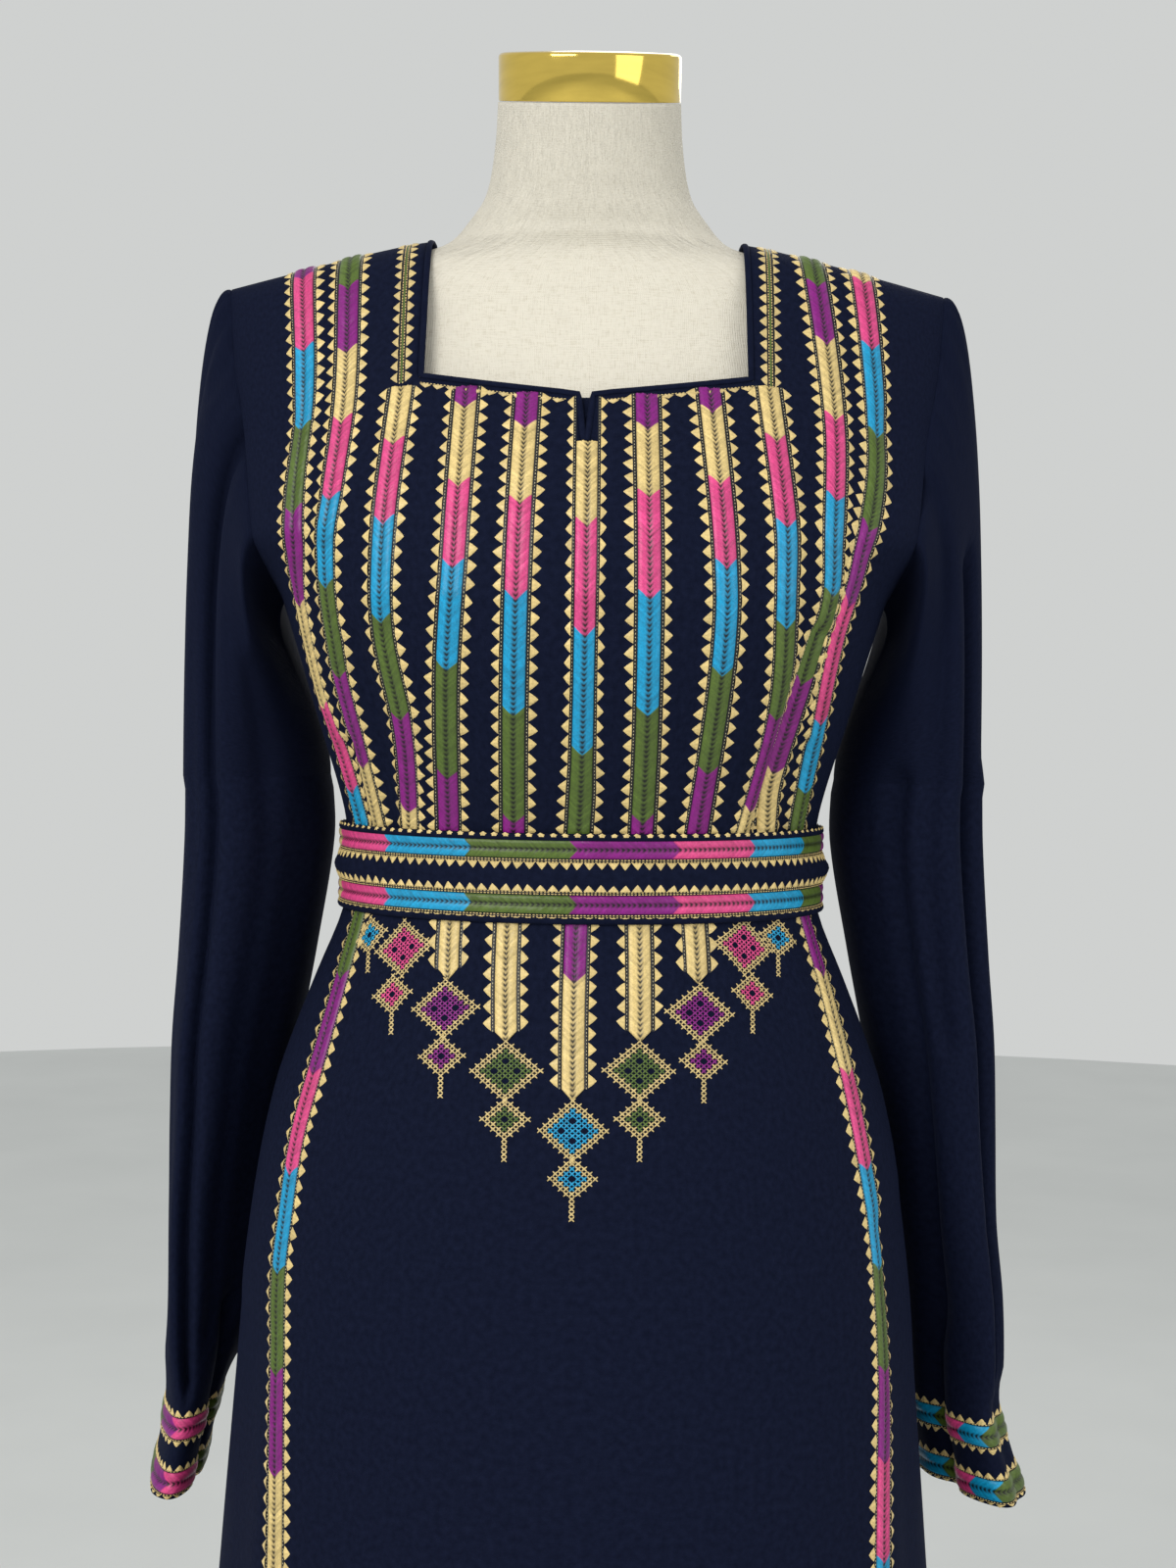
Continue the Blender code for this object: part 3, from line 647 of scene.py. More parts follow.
@dataclass(frozen=True)
class BandStyle:
    """Sizes of one kind of stitched band."""

    half: float = 0.0059
    outline: float = 0.0020
    scallop_tall: float = 0.0044
    scallop_pitch: float = 0.0084
    slant: float = 0.95
    pad: float = 0.0010


class StitchWork:
    """Stitches of many kinds gathered into one piece."""

    def __init__(self, name: str, seed: int) -> None:
        """Starts an empty piece with its own repeatable unevenness."""
        self.name = name
        self.spots: list[np.ndarray] = []
        self.faces: list[np.ndarray] = []
        self.colours: list[np.ndarray] = []
        self.count = 0
        self.random = np.random.default_rng(seed)
        self.lens = unit_lens()

    def add(self, spots: np.ndarray, faces: np.ndarray, colours: np.ndarray) -> None:
        """Adds triangles, leaving out those that have shrunk to nothing."""
        a, b, c = (spots[faces[:, k]] for k in range(3))
        real = np.linalg.norm(np.cross(b - a, c - a), axis=1) > 2e-12
        self.spots.append(spots)
        self.faces.append(faces[real] + self.count)
        self.colours.append(np.broadcast_to(colours, spots.shape))
        self.count += len(spots)

    def satin(
        self,
        strip: Strip,
        start: float,
        stop: float,
        changes: list[tuple[Thread, float]],
        style: BandStyle,
        tip: float = 0.0,
    ) -> None:
        """Lays a chevron satin band.

        Args:
            strip: The cloth it lies on.
            start: Where it begins along the strip.
            stop: Where its centre ends.
            changes: Threads in order with the distance along at which each ends.
            style: The band's sizes.
            tip: How much sooner its edges end than its centre.
        """
        across = np.array([-1.0, -0.88, -0.62, -0.36, -0.1, 0.0, 0.1, 0.36, 0.62, 0.88, 1.0])
        rows = max(int((stop - start + style.half) / SATIN_PITCH), 3)
        cells, faces = unit_grid(len(across) - 1, rows)
        share, row = across[cells[:, 0]], cells[:, 1]
        off_centre = np.abs(share)
        base = start - style.half * style.slant + row * SATIN_PITCH
        wander = self.random.normal(0.0, 0.00008, rows + 1)[row]
        along = base + style.half * style.slant * (1.0 - off_centre) + wander
        end = stop - tip * off_centre
        pad = np.sqrt(np.clip(1.0 - ((off_centre - 0.5) / 0.5) ** 2, 0.0, 1.0))
        ridge = np.where(row % 2 == 0, 1.0, -1.0) + self.random.normal(0.0, 0.25, rows + 1)[row]
        up = 0.00015 + style.pad * pad + 0.00013 * ridge * (0.35 + pad)
        up = np.where((off_centre > 0.99) | (along < start) | (along > end), -0.0002, up)
        places = strip.at(np.clip(along, start, end), share * style.half, up)
        ends = np.array([at for _, at in changes])
        threads = np.array([thread.linear for thread, _ in changes])
        level = base + style.half * style.slant
        colour = threads[np.clip(np.searchsorted(ends, level), 0, len(ends) - 1)]
        # random tone for each pair of rows, plus painted highlight and shade: the half of the chevron on the
        # negative side is painted 7% lighter and the positive half 7% darker, standing in for the sheen of the
        # slanting threads
        tone = 1.0 + self.random.normal(0.0, 0.09, rows // 2 + 1)[row // 2] - 0.07 * np.sign(share)
        hole = np.where((off_centre < 0.11) & (row % 4 < 2), 0.04, 1.0)
        hole = hole * np.where(off_centre < 0.11, 0.72, 1.0)
        # painted shade: the satin is darkened to 70% along its two edges, where it slopes down into the cloth
        edge = np.where(off_centre > 0.99, 0.7, 1.0)
        self.add(places, faces, colour * (tone * hole * edge)[:, None])

    def scallops(
        self,
        strip: Strip,
        start: float,
        stop: float,
        foot: float,
        side: float,
        tall: float,
        pitch: float,
        thread: Thread = Thread.CREAM,
    ) -> None:
        """Lays a row of satin points that touch at their feet.

        Args:
            strip: The cloth they lie on.
            start: Where the row begins.
            stop: Where it ends.
            foot: Distance of the feet from the strip's centre line, signed.
            side: +1 or -1, the way the points face.
            tall: Height of a point.
            pitch: Spacing of the points.
            thread: Their colour.
        """
        count = max(int(round((stop - start) / pitch)), 1)
        pitch = (stop - start) / count
        cells, faces = unit_grid(6, 3)
        u, w = cells[:, 0] / 3.0 - 1.0, cells[:, 1] / 3.0
        for_each = np.repeat(np.arange(count), len(cells))
        lean = self.random.normal(0.0, 0.05, count)[for_each]
        size = (1.0 + self.random.normal(0.0, 0.06, count))[for_each]
        u, w = np.tile(u, count), np.tile(w, count)
        column = np.tile(cells[:, 0], count)
        along = start + (for_each + 0.5 + 0.49 * u * (1.0 - w**1.2 * 0.96) + lean * w) * pitch
        across = foot + side * tall * size * w
        dome = np.cos(u * math.pi / 2) * (1.0 - 0.5 * w) * np.where(w > 0.99, 0.0, 1.0)
        up = -0.0001 + 0.0008 * dome + np.where(column % 2 == 0, 0.00010, -0.00006) * (dome > 0.05)
        tone = 1.0 + self.random.normal(0.0, 0.06, count)[for_each]
        # painted highlight and shade: the raised stitch columns are painted 5% lighter and the sunken ones 10%
        # darker, following the ridges of the relief
        tone = tone * np.where(column % 2 == 0, 1.05, 0.9)
        shift = (np.arange(count) * len(cells))[:, None, None]
        many = (faces[None] + shift).reshape(-1, 3)
        if side < 0:
            many = many[:, ::-1]
        self.add(strip.at(along, across, up), many, thread.linear * tone[:, None])

    def lenses(
        self,
        strip: Strip,
        along: np.ndarray,
        across: np.ndarray,
        turn: np.ndarray | float,
        size: tuple[float, float, float],
        colours: np.ndarray,
        lift: float = 0.0002,
    ) -> None:
        """Lays single small stitches, each a low six-sided dome.

        Args:
            strip: The cloth they lie on.
            along: Their places along the strip.
            across: Their places across it.
            turn: Their turn in radians, 0 lying along the strip.
            size: Half length, half width and height.
            colours: One linear colour each.
            lift: Height of their feet above the cloth.
        """
        count = len(along)
        spots, faces = self.lens
        turn = np.broadcast_to(turn, (count,))
        long, wide = spots[:, 0] * size[0], spots[:, 1] * size[1]
        s = along[:, None] + long * np.cos(turn)[:, None] - wide * np.sin(turn)[:, None]
        a = across[:, None] + long * np.sin(turn)[:, None] + wide * np.cos(turn)[:, None]
        up = np.broadcast_to(lift + spots[:, 2] * size[2], s.shape)
        many = (faces[None] + (np.arange(count) * len(spots))[:, None, None]).reshape(-1, 3)
        tone = 1.0 + self.random.normal(0.0, 0.08, count)
        shade = np.repeat(colours * tone[:, None], len(spots), axis=0)
        places = strip.at(s.ravel(), a.ravel(), up.ravel())
        self.add(places, many, shade)

    def dashes(self, strip: Strip, start: float, stop: float, across: float, thread: Thread = Thread.BEAD) -> None:
        """Lays a line of short stitches end to end."""
        along = np.arange(start + 0.0009, stop, 0.0019)
        if len(along) == 0:
            return
        along = along + self.random.normal(0.0, 0.00008, len(along))
        colours = np.tile(thread.linear, (len(along), 1))
        self.lenses(strip, along, np.full(len(along), across), 0.0, (0.00072, 0.00030, 0.0004), colours)

    def ribbon(self, strip: Strip, start: float, stop: float, across: float, width: float, thread: Thread) -> None:
        """Lays a flat line of close dark stitches."""
        rows = max(int((stop - start) / 0.002), 1)
        cells, faces = unit_grid(2, rows)
        along = start + (stop - start) * cells[:, 1] / rows
        offset = across + (cells[:, 0] / 2.0 - 0.5) * width
        up = np.where(cells[:, 0] == 1, 0.00030, 0.00005)
        self.add(strip.at(along, offset, up), faces, np.tile(thread.linear, (len(cells), 1)))

    def band(
        self,
        strip: Strip,
        start: float,
        stop: float,
        changes: list[tuple[Thread, float]],
        style: BandStyle,
        tip: float = 0.0,
        edge_start: float | None = None,
    ) -> None:
        """Lays a whole stripe: satin, its outlines and dashes, and its points."""
        self.satin(strip, start, stop, changes, style, tip)
        first = start if edge_start is None else edge_start
        last = stop - tip
        for side in (-1.0, 1.0):
            middle = side * (style.half + style.outline / 2)
            self.ribbon(strip, first, last, middle, style.outline, Thread.OUTLINE)
            self.dashes(strip, first, last, middle)
            foot = side * (style.half + style.outline)
            self.scallops(strip, first, last, foot, side, style.scallop_tall, style.scallop_pitch)

    def crosses(self, strip: Strip, steps: list[tuple[int, int, Thread]], middle: tuple[float, float]) -> None:
        """Lays cross stitches on a small counted lattice.

        Args:
            strip: The cloth they lie on.
            steps: Columns and rows counted from the middle, with their threads.
            middle: The middle's place along and across.
        """
        rows = np.array([row for _, row, _ in steps], float)
        columns = np.array([column for column, _, _ in steps], float)
        colours = np.array([thread.linear for _, _, thread in steps])
        along, across = middle[0] + rows * 0.00255, middle[1] + columns * 0.0030
        for turn, lift in ((0.86, 0.0002), (-0.86, 0.00045)):
            self.lenses(strip, along, across, turn, (0.0021, 0.00048, 0.00052), colours, lift)

    def finish(self, material: bpy.types.Material) -> bpy.types.Object:
        """Makes the piece, dresses it and sets it riding.

        Args:
            material: The thread finish.

        Returns:
            The finished piece.
        """
        spots, faces = np.concatenate(self.spots), np.concatenate(self.faces)
        colours = np.clip(np.concatenate(self.colours), 0.0, 1.0)
        used = np.unique(faces)
        index = np.full(len(spots), -1)
        index[used] = np.arange(len(used))
        data = bpy.data.meshes.new(self.name)
        data.vertices.add(len(used))
        data.vertices.foreach_set("co", spots[used].astype(np.float32).ravel())
        data.loops.add(len(faces) * 3)
        data.loops.foreach_set("vertex_index", index[faces].astype(np.int32).ravel())
        data.polygons.add(len(faces))
        data.polygons.foreach_set("loop_start", (np.arange(len(faces)) * 3).astype(np.int32))
        data.polygons.foreach_set("use_smooth", np.ones(len(faces), bool))
        data.update(calc_edges=True)
        tint = data.color_attributes.new("thread", "FLOAT_COLOR", "POINT")
        tint.data.foreach_set("color", np.c_[colours[used], np.ones(len(used))].astype(np.float32).ravel())
        data.materials.append(material)
        piece = linked(self.name, data)
        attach(piece, ROOT)
        LOG.info("%s: %d triangles", self.name, len(faces))
        return piece


# ---- finishes -----------------------------------------------------------------------------
def linked(name: str, data: bpy.types.ID) -> bpy.types.Object:
    """A new object of the scene."""
    made = bpy.data.objects.new(name, data)
    bpy.context.scene.collection.objects.link(made)
    return made


def new_material(name: str) -> tuple[bpy.types.Material, bpy.types.NodeTree, bpy.types.Node]:
    """An empty material with its node tree and shader."""
    material = bpy.data.materials.new(name)
    material.use_nodes = True
    tree = material.node_tree
    return material, tree, tree.nodes["Principled BSDF"]


def set_inputs(node: bpy.types.Node, **values: object) -> None:
    """Sets sockets by name, with underscores for spaces."""
    for key, value in values.items():
        node.inputs[key.replace("_", " ")].default_value = value


def mapped(
    tree: bpy.types.NodeTree, source: str, scale: tuple[float, float, float] = (1.0, 1.0, 1.0)
) -> bpy.types.NodeSocket:
    """Texture coordinates of one kind, scaled."""
    coordinates = tree.nodes.new("ShaderNodeTexCoord")
    mapping = tree.nodes.new("ShaderNodeMapping")
    mapping.inputs["Scale"].default_value = scale
    tree.links.new(coordinates.outputs[source], mapping.inputs["Vector"])
    return mapping.outputs["Vector"]


def noise(
    tree: bpy.types.NodeTree, vector: bpy.types.NodeSocket, scale: float, detail: float = 2.0
) -> bpy.types.NodeSocket:
    """A noise texture's value."""
    node = tree.nodes.new("ShaderNodeTexNoise")
    set_inputs(node, Scale=scale, Detail=detail)
    tree.links.new(vector, node.inputs["Vector"])
    return node.outputs["Fac"]


def blended(
    tree: bpy.types.NodeTree, factor: bpy.types.NodeSocket, low: tuple, high: tuple, start: float, stop: float
) -> bpy.types.NodeSocket:
    """A colour that runs from low to high as the factor goes from start to stop."""
    ramp = tree.nodes.new("ShaderNodeValToRGB")
    ramp.color_ramp.elements[0].position = start
    ramp.color_ramp.elements[1].position = stop
    ramp.color_ramp.elements[0].color = (*low, 1.0)
    ramp.color_ramp.elements[1].color = (*high, 1.0)
    tree.links.new(factor, ramp.inputs["Fac"])
    return ramp.outputs["Color"]


def bump(
    tree: bpy.types.NodeTree,
    height: bpy.types.NodeSocket,
    distance: float,
    strength: float,
    below: bpy.types.NodeSocket | None = None,
) -> bpy.types.NodeSocket:
    """A bump on top of another bump, if there is one."""
    node = tree.nodes.new("ShaderNodeBump")
    set_inputs(node, Strength=strength, Distance=distance)
    tree.links.new(height, node.inputs["Height"])
    if below is not None:
        tree.links.new(below, node.inputs["Normal"])
    return node.outputs["Normal"]


def added(
    tree: bpy.types.NodeTree, first: bpy.types.NodeSocket, second: bpy.types.NodeSocket
) -> bpy.types.NodeSocket:
    """The sum of two values."""
    node = tree.nodes.new("ShaderNodeMath")
    node.operation = "ADD"
    tree.links.new(first, node.inputs[0])
    tree.links.new(second, node.inputs[1])
    return node.outputs["Value"]


def weave(tree: bpy.types.NodeTree, scale: float) -> bpy.types.NodeSocket:
    """Warp and weft of a plain cloth as a height, from the UV map in metres."""
    heights = []
    for direction in ("X", "Y"):
        wave = tree.nodes.new("ShaderNodeTexWave")
        wave.bands_direction = direction
        set_inputs(wave, Scale=scale, Distortion=1.2, Detail=1.0)
        tree.links.new(mapped(tree, "UV"), wave.inputs["Vector"])
        heights.append(wave.outputs["Fac"])
    return added(tree, *heights)


@dataclass(frozen=True)
class Crepe:
    """Fine navy crepe with a soft bloom."""

    dark: tuple[float, float, float] = (0.0050, 0.0072, 0.0200)
    light: tuple[float, float, float] = (0.0082, 0.0115, 0.0310)

    def make(self) -> bpy.types.Material:
        """The finished material."""
        material, tree, shader = new_material("navy_crepe")
        set_inputs(shader, Roughness=0.78, Specular_IOR_Level=0.03)
        set_inputs(shader, Sheen_Weight=0.03, Sheen_Roughness=0.40, Sheen_Tint=(0.30, 0.38, 0.78, 1.0))
        uv = mapped(tree, "UV")
        colour = blended(tree, noise(tree, uv, 260.0, 4.0), self.dark, self.light, 0.3, 0.75)
        tree.links.new(colour, shader.inputs["Base Color"])
        crinkle = noise(tree, mapped(tree, "UV", (1.0, 0.55, 1.0)), 1300.0, 2.0)
        low = bump(tree, noise(tree, uv, 70.0, 3.0), 0.0012, 0.35)
        fine = bump(tree, crinkle, 0.00016, 0.8, low)
        tree.links.new(bump(tree, weave(tree, 420.0), 0.00008, 0.5, fine), shader.inputs["Normal"])
        return material


@dataclass(frozen=True)
class SatinThread:
    """Glossy embroidery thread whose colour is on the stitches themselves."""

    def make(self) -> bpy.types.Material:
        """The finished material."""
        material, tree, shader = new_material("satin_thread")
        set_inputs(shader, Roughness=0.42, Sheen_Weight=0.15, Sheen_Roughness=0.35, Specular_IOR_Level=0.5)
        tint = tree.nodes.new("ShaderNodeAttribute")
        tint.attribute_name = "thread"
        spot = mapped(tree, "Object")
        change = blended(tree, noise(tree, spot, 900.0, 2.0), (0.82,) * 3, (1.1,) * 3, 0.3, 0.7)
        mix = tree.nodes.new("ShaderNodeMix")
        mix.data_type = "RGBA"
        mix.blend_type = "MULTIPLY"
        mix.inputs["Factor"].default_value = 1.0
        tree.links.new(tint.outputs["Color"], mix.inputs[6])
        tree.links.new(change, mix.inputs[7])
        tree.links.new(mix.outputs[2], shader.inputs["Base Color"])
        tree.links.new(bump(tree, noise(tree, spot, 2600.0, 1.0), 0.0001, 0.5), shader.inputs["Normal"])
        return material


@dataclass(frozen=True)
class Linen:
    """Off-white linen with a visible plain weave."""

    low: tuple[float, float, float] = (0.660, 0.610, 0.500)
    high: tuple[float, float, float] = (0.780, 0.735, 0.630)

    def make(self) -> bpy.types.Material:
        """The finished material."""
        material, tree, shader = new_material("linen")
        set_inputs(shader, Roughness=0.86, Sheen_Weight=0.12, Sheen_Roughness=0.5, Specular_IOR_Level=0.25)
        slub_u = noise(tree, mapped(tree, "UV", (1.0, 9.0, 1.0)), 160.0, 3.0)
        slub_v = noise(tree, mapped(tree, "UV", (9.0, 1.0, 1.0)), 160.0, 3.0)
        slub = added(tree, slub_u, slub_v)
        tree.links.new(blended(tree, slub, self.low, self.high, 0.72, 1.2), shader.inputs["Base Color"])
        low = bump(tree, slub, 0.0004, 0.5)
        tree.links.new(bump(tree, weave(tree, 330.0), 0.00018, 0.6, low), shader.inputs["Normal"])
        return material


@dataclass(frozen=True)
class Metal:
    """Polished or brushed metal."""

    name: str
    colour: tuple[float, float, float]
    roughness: float
    grain: float

    def make(self) -> bpy.types.Material:
        """The finished material."""
        material, tree, shader = new_material(self.name)
        set_inputs(shader, Metallic=1.0, Roughness=self.roughness)
        spot = mapped(tree, "Object", (1.0, 1.0, 6.0))
        darker = tuple(value * 0.9 for value in self.colour)
        colour = blended(tree, noise(tree, spot, 38.0, 3.0), darker, self.colour, 0.35, 0.65)
        tree.links.new(colour, shader.inputs["Base Color"])
        tree.links.new(bump(tree, noise(tree, spot, 420.0, 2.0), self.grain, 0.25), shader.inputs["Normal"])
        return material


@dataclass(frozen=True)
class Plaster:
    """The plain pale floor."""

    def make(self) -> bpy.types.Material:
        """The finished material."""
        material, tree, shader = new_material("pale_floor")
        set_inputs(shader, Roughness=0.8)
        spot = mapped(tree, "Object")
        colour = blended(tree, noise(tree, spot, 3.0, 4.0), (0.665, 0.68, 0.672), (0.70, 0.715, 0.706), 0.3, 0.7)
        tree.links.new(colour, shader.inputs["Base Color"])
        return material


# ---- making meshes ------------------------------------------------------------------------
Place = Callable[[np.ndarray, np.ndarray], np.ndarray]


def mapped_grid(
    name: str,
    columns: np.ndarray,
    rows: np.ndarray,
    place: Place,
    uv_scale: tuple[float, float],
    keep: Callable[[float, float, float, float], bool] | None = None,
    closed: bool = False,
    caps: bool = False,
) -> bpy.types.Object:
    """A grid of cells moved into place.

    Args:
        name: The piece's name.
        columns: Values of p along the grid's columns.
        rows: Values of q along its rows.
        place: Gives the place for each p and q.
        uv_scale: Metres of cloth for one unit of p and of q.
        keep: Says whether to keep the cell between two columns and two rows.
        closed: Whether the first and last columns meet.
        caps: Whether the open ends are filled.

    Returns:
        The piece, linked to the scene.
    """
    wide, tall = len(columns) - 1, len(rows) - 1
    mesh = bmesh.new()
    bmesh.ops.create_grid(mesh, x_segments=wide, y_segments=tall, size=0.5)
    uv_layer = mesh.loops.layers.uv.new("UVMap")
    cells = np.array([vertex.co[:2] for vertex in mesh.verts])
    cells = np.rint((cells + 0.5) * (wide, tall)).astype(int)
    columns, rows = np.asarray(columns, float), np.asarray(rows, float)
    places = place(columns[cells[:, 0]], rows[cells[:, 1]])
    unwanted = []
    for face in mesh.faces:
        corners = [cells[vertex.index] for vertex in face.verts]
        if keep is not None:
            i, j = min(corner[0] for corner in corners), min(corner[1] for corner in corners)
            if not keep(columns[i], columns[i + 1], rows[j], rows[j + 1]):
                unwanted.append(face)
        face.smooth = True
        for loop, (i, j) in zip(face.loops, corners):
            loop[uv_layer].uv = (columns[i] * uv_scale[0], rows[j] * uv_scale[1])
    for vertex, spot in zip(mesh.verts, places):
        vertex.co = spot
    bmesh.ops.delete(mesh, geom=unwanted, context="FACES")
    if closed:
        bmesh.ops.remove_doubles(mesh, verts=mesh.verts, dist=2e-6)
    if caps:
        bmesh.ops.holes_fill(mesh, edges=[edge for edge in mesh.edges if edge.is_boundary])
    if closed and caps:
        bmesh.ops.recalc_face_normals(mesh, faces=mesh.faces)
    data = bpy.data.meshes.new(name)
    mesh.to_mesh(data)
    mesh.free()
    return linked(name, data)


def dress_piece(
    made: bpy.types.Object, material: bpy.types.Material, nodes: tuple[str, ...], wall: float = 0.0
) -> None:
    """Gives a piece its wall, finish and body, and hides the solids it stands for."""
    made.data.materials.append(material)
    if wall:
        solidify = made.modifiers.new("wall", "SOLIDIFY")
        solidify.thickness = wall
        solidify.offset = -1.0
    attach(made, ROOT)
    if nodes:
        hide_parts(*nodes)
    LOG.info("%s: %d faces", made.name, len(made.data.polygons))


def cord_along(
    name: str, spots: np.ndarray, outs: np.ndarray, sizes: tuple[float, float], closed: bool
) -> bpy.types.Object:
    """A soft round cord through these spots.

    Args:
        name: The piece's name.
        spots: The cord's centre line.
        outs: Directions away from the cloth at each spot.
        sizes: Half width along the cloth and half height off it.
        closed: Whether it joins itself end to end.

    Returns:
        The cord.
    """
    if closed:
        ahead = np.roll(spots, -1, axis=0) - np.roll(spots, 1, axis=0)
    else:
        ahead = np.gradient(spots, axis=0)
    ahead = unit(ahead)
    side = unit(np.cross(outs, ahead))
    out = np.cross(ahead, side)
    count = len(spots)

    def place(ring: np.ndarray, row: np.ndarray) -> np.ndarray:
        """A spot on the cord's skin."""
        i = row.astype(int) % count
        turn = np.radians(ring)[:, None]
        return spots[i] + side[i] * np.cos(turn) * sizes[0] + out[i] * np.sin(turn) * sizes[1]

    rows = np.arange(count + 1 if closed else count)
    made = mapped_grid(name, np.linspace(0.0, 360.0, 11), rows, place, (0.00003, 0.002), None, True, not closed)
    mesh = bmesh.new()
    mesh.from_mesh(made.data)
    bmesh.ops.recalc_face_normals(mesh, faces=mesh.faces)
    mesh.to_mesh(made.data)
    mesh.free()
    return made


def turned_piece(name: str, profile: tuple, centre: tuple[float, float, float], tilt: float) -> bpy.types.Object:
    """A piece turned about an upright axis, then tilted and set in place."""
    mesh = bmesh.new()
    spots = [mesh.verts.new((radius, 0.0, height)) for radius, height in profile]
    edges = [mesh.edges.new(pair) for pair in zip(spots, spots[1:])]
    bmesh.ops.spin(
        mesh,
        geom=spots + edges,
        cent=(0.0, 0.0, 0.0),
        axis=(0.0, 0.0, 1.0),
        angle=2 * math.pi,
        steps=128,
        use_merge=True,
        use_duplicate=False,
    )
    bmesh.ops.remove_doubles(mesh, verts=mesh.verts, dist=1e-6)
    bmesh.ops.recalc_face_normals(mesh, faces=mesh.faces)
    place = Matrix.Translation(centre) @ Matrix.Rotation(tilt, 4, "X")
    bmesh.ops.transform(mesh, matrix=place, verts=mesh.verts)
    uv_layer = mesh.loops.layers.uv.new("UVMap")
    for face in mesh.faces:
        for loop in face.loops:
            loop[uv_layer].uv = (loop.vert.co.x, loop.vert.co.z)
    data = bpy.data.meshes.new(name)
    mesh.to_mesh(data)
    mesh.free()
    data.shade_smooth()
    data.set_sharp_from_angle(angle=math.radians(28))
    return linked(name, data)


# ---- the pieces ---------------------------------------------------------------------------
def neck_turn(column: np.ndarray) -> np.ndarray:
    """The turn of the front neck edge, which droops to the slit."""
    return 39.6 + 4.4 * np.minimum(np.abs(column) / NECK_COLUMN, 1.0)


def front_rows(column: np.ndarray, row: np.ndarray) -> np.ndarray:
    """Rows of the front, drawn down along the neck edge."""
    turn = turn_of(row)
    droop = neck_turn(column) - NECK_TURN
    beyond = np.exp(-np.clip(np.abs(column) - NECK_COLUMN, 0.0, None) / 8.0)
    below = smooth_step((turn - 18.0) / (NECK_TURN - 18.0)) * (turn <= NECK_TURN)
    above = smooth_step((66.0 - turn) / (66.0 - NECK_TURN)) * (turn > NECK_TURN)
    return row + droop * beyond * (below + above) / 90.0 * YOKE_SPAN


@dataclass
class DressBody:
    """The front and back lengths, with the open neck, slit and hem."""

    wall: float = 0.0011
    tuck: float = 0.0014
    front_creases: tuple[Crease, ...] = ()
    back_creases: tuple[Crease, ...] = ()
    front: DressSide = field(init=False)
    back: DressSide = field(init=False)

    def __post_init__(self) -> None:
        """Makes the two sheets."""
        self.front = DressSide(False, self.front_creases)
        self.back = DressSide(True, self.back_creases)

    def place_front(self, p: np.ndarray, q: np.ndarray) -> np.ndarray:
        """The front, with its side and shoulder seams tucked under the back."""
        turn = turn_of(q)
        inner = np.clip(p, -89.97, 89.97)
        level = np.minimum(front_rows(inner, q), row_of(89.97))
        spots = self.front.point(inner, level)
        slit = (np.abs(p) == 1.5) & (turn >= SLIT_TURN)
        share = (turn - SLIT_TURN) / (NECK_TURN - SLIT_TURN)
        spots[:, 0] = np.where(slit, np.sign(p) * (0.0003 + 0.0026 * share), spots[:, 0])
        over = (np.abs(p) > 90.0) | (turn > 90.0)
        if over.any():
            under = np.where(np.abs(p) > 90.0, -np.sign(p) * 88.6, -p), np.minimum(q, row_of(88.2))
            tucked = self.back.point(*under) - self.back.normal(*under) * self.tuck * 1.4
            spots = np.where(over[:, None], tucked, spots)
        return spots

    def build(self, crepe: bpy.types.Material) -> list[bpy.types.Object]:
        """Makes both lengths."""
        side = np.concatenate([np.linspace(1.5, NECK_COLUMN, 30), np.linspace(NECK_COLUMN, 90.0, 42)[1:], [91.4]])
        columns = np.concatenate([-side[::-1], side])
        skirt = np.linspace(HEM, WAIST_ROW, 108)
        waist = np.linspace(WAIST_ROW, UNDERARM, 32)[1:]
        chest = row_of(1.0) - UNDERARM
        yoke = UNDERARM + chest * np.concatenate(
            [
                np.linspace(0.0, SLIT_TURN, 26)[1:],
                np.linspace(SLIT_TURN, NECK_TURN, 12)[1:],
                np.linspace(NECK_TURN, 90.0, 34)[1:],
                [91.5],
            ]
        )
        rows = np.concatenate([skirt, waist, yoke])

        def keep_front(first: float, second: float, low: float, high: float) -> bool:
            """Leaves out the neck opening and the slit."""
            middle, level = (first + second) / 2, (low + high) / 2
            in_neck = abs(middle) < NECK_COLUMN and level > row_of(NECK_TURN)
            in_slit = abs(middle) < 1.0 and level > row_of(SLIT_TURN)
            return not (in_neck or in_slit)

        front = mapped_grid("dress_front", columns, rows, self.place_front, (0.0033, 1.0), keep_front)
        dress_piece(front, crepe, ("front",), self.wall)

        side = np.concatenate([np.linspace(0.0, NECK_COLUMN, 15), np.linspace(NECK_COLUMN, 90.0, 40)[1:]])
        columns = np.concatenate([-side[::-1][:-1], side])
        yoke = UNDERARM + chest * np.concatenate(
            [np.linspace(0.0, BACK_NECK_TURN, 34)[1:], np.linspace(BACK_NECK_TURN, 90.0, 16)[1:]]
        )
        rows = np.concatenate([np.linspace(HEM, WAIST_ROW, 100), np.linspace(WAIST_ROW, UNDERARM, 22)[1:], yoke])

        def keep_back(first: float, second: float, low: float, high: float) -> bool:
            """Leaves out the back neck."""
            middle, level = (first + second) / 2, (low + high) / 2
            return not (abs(middle) < NECK_COLUMN and level > row_of(BACK_NECK_TURN))

        back = mapped_grid("dress_back", columns, rows, self.back.point, (0.0033, 1.0), keep_back)
        dress_piece(back, crepe, ("back",), self.wall)
        return [front, back]


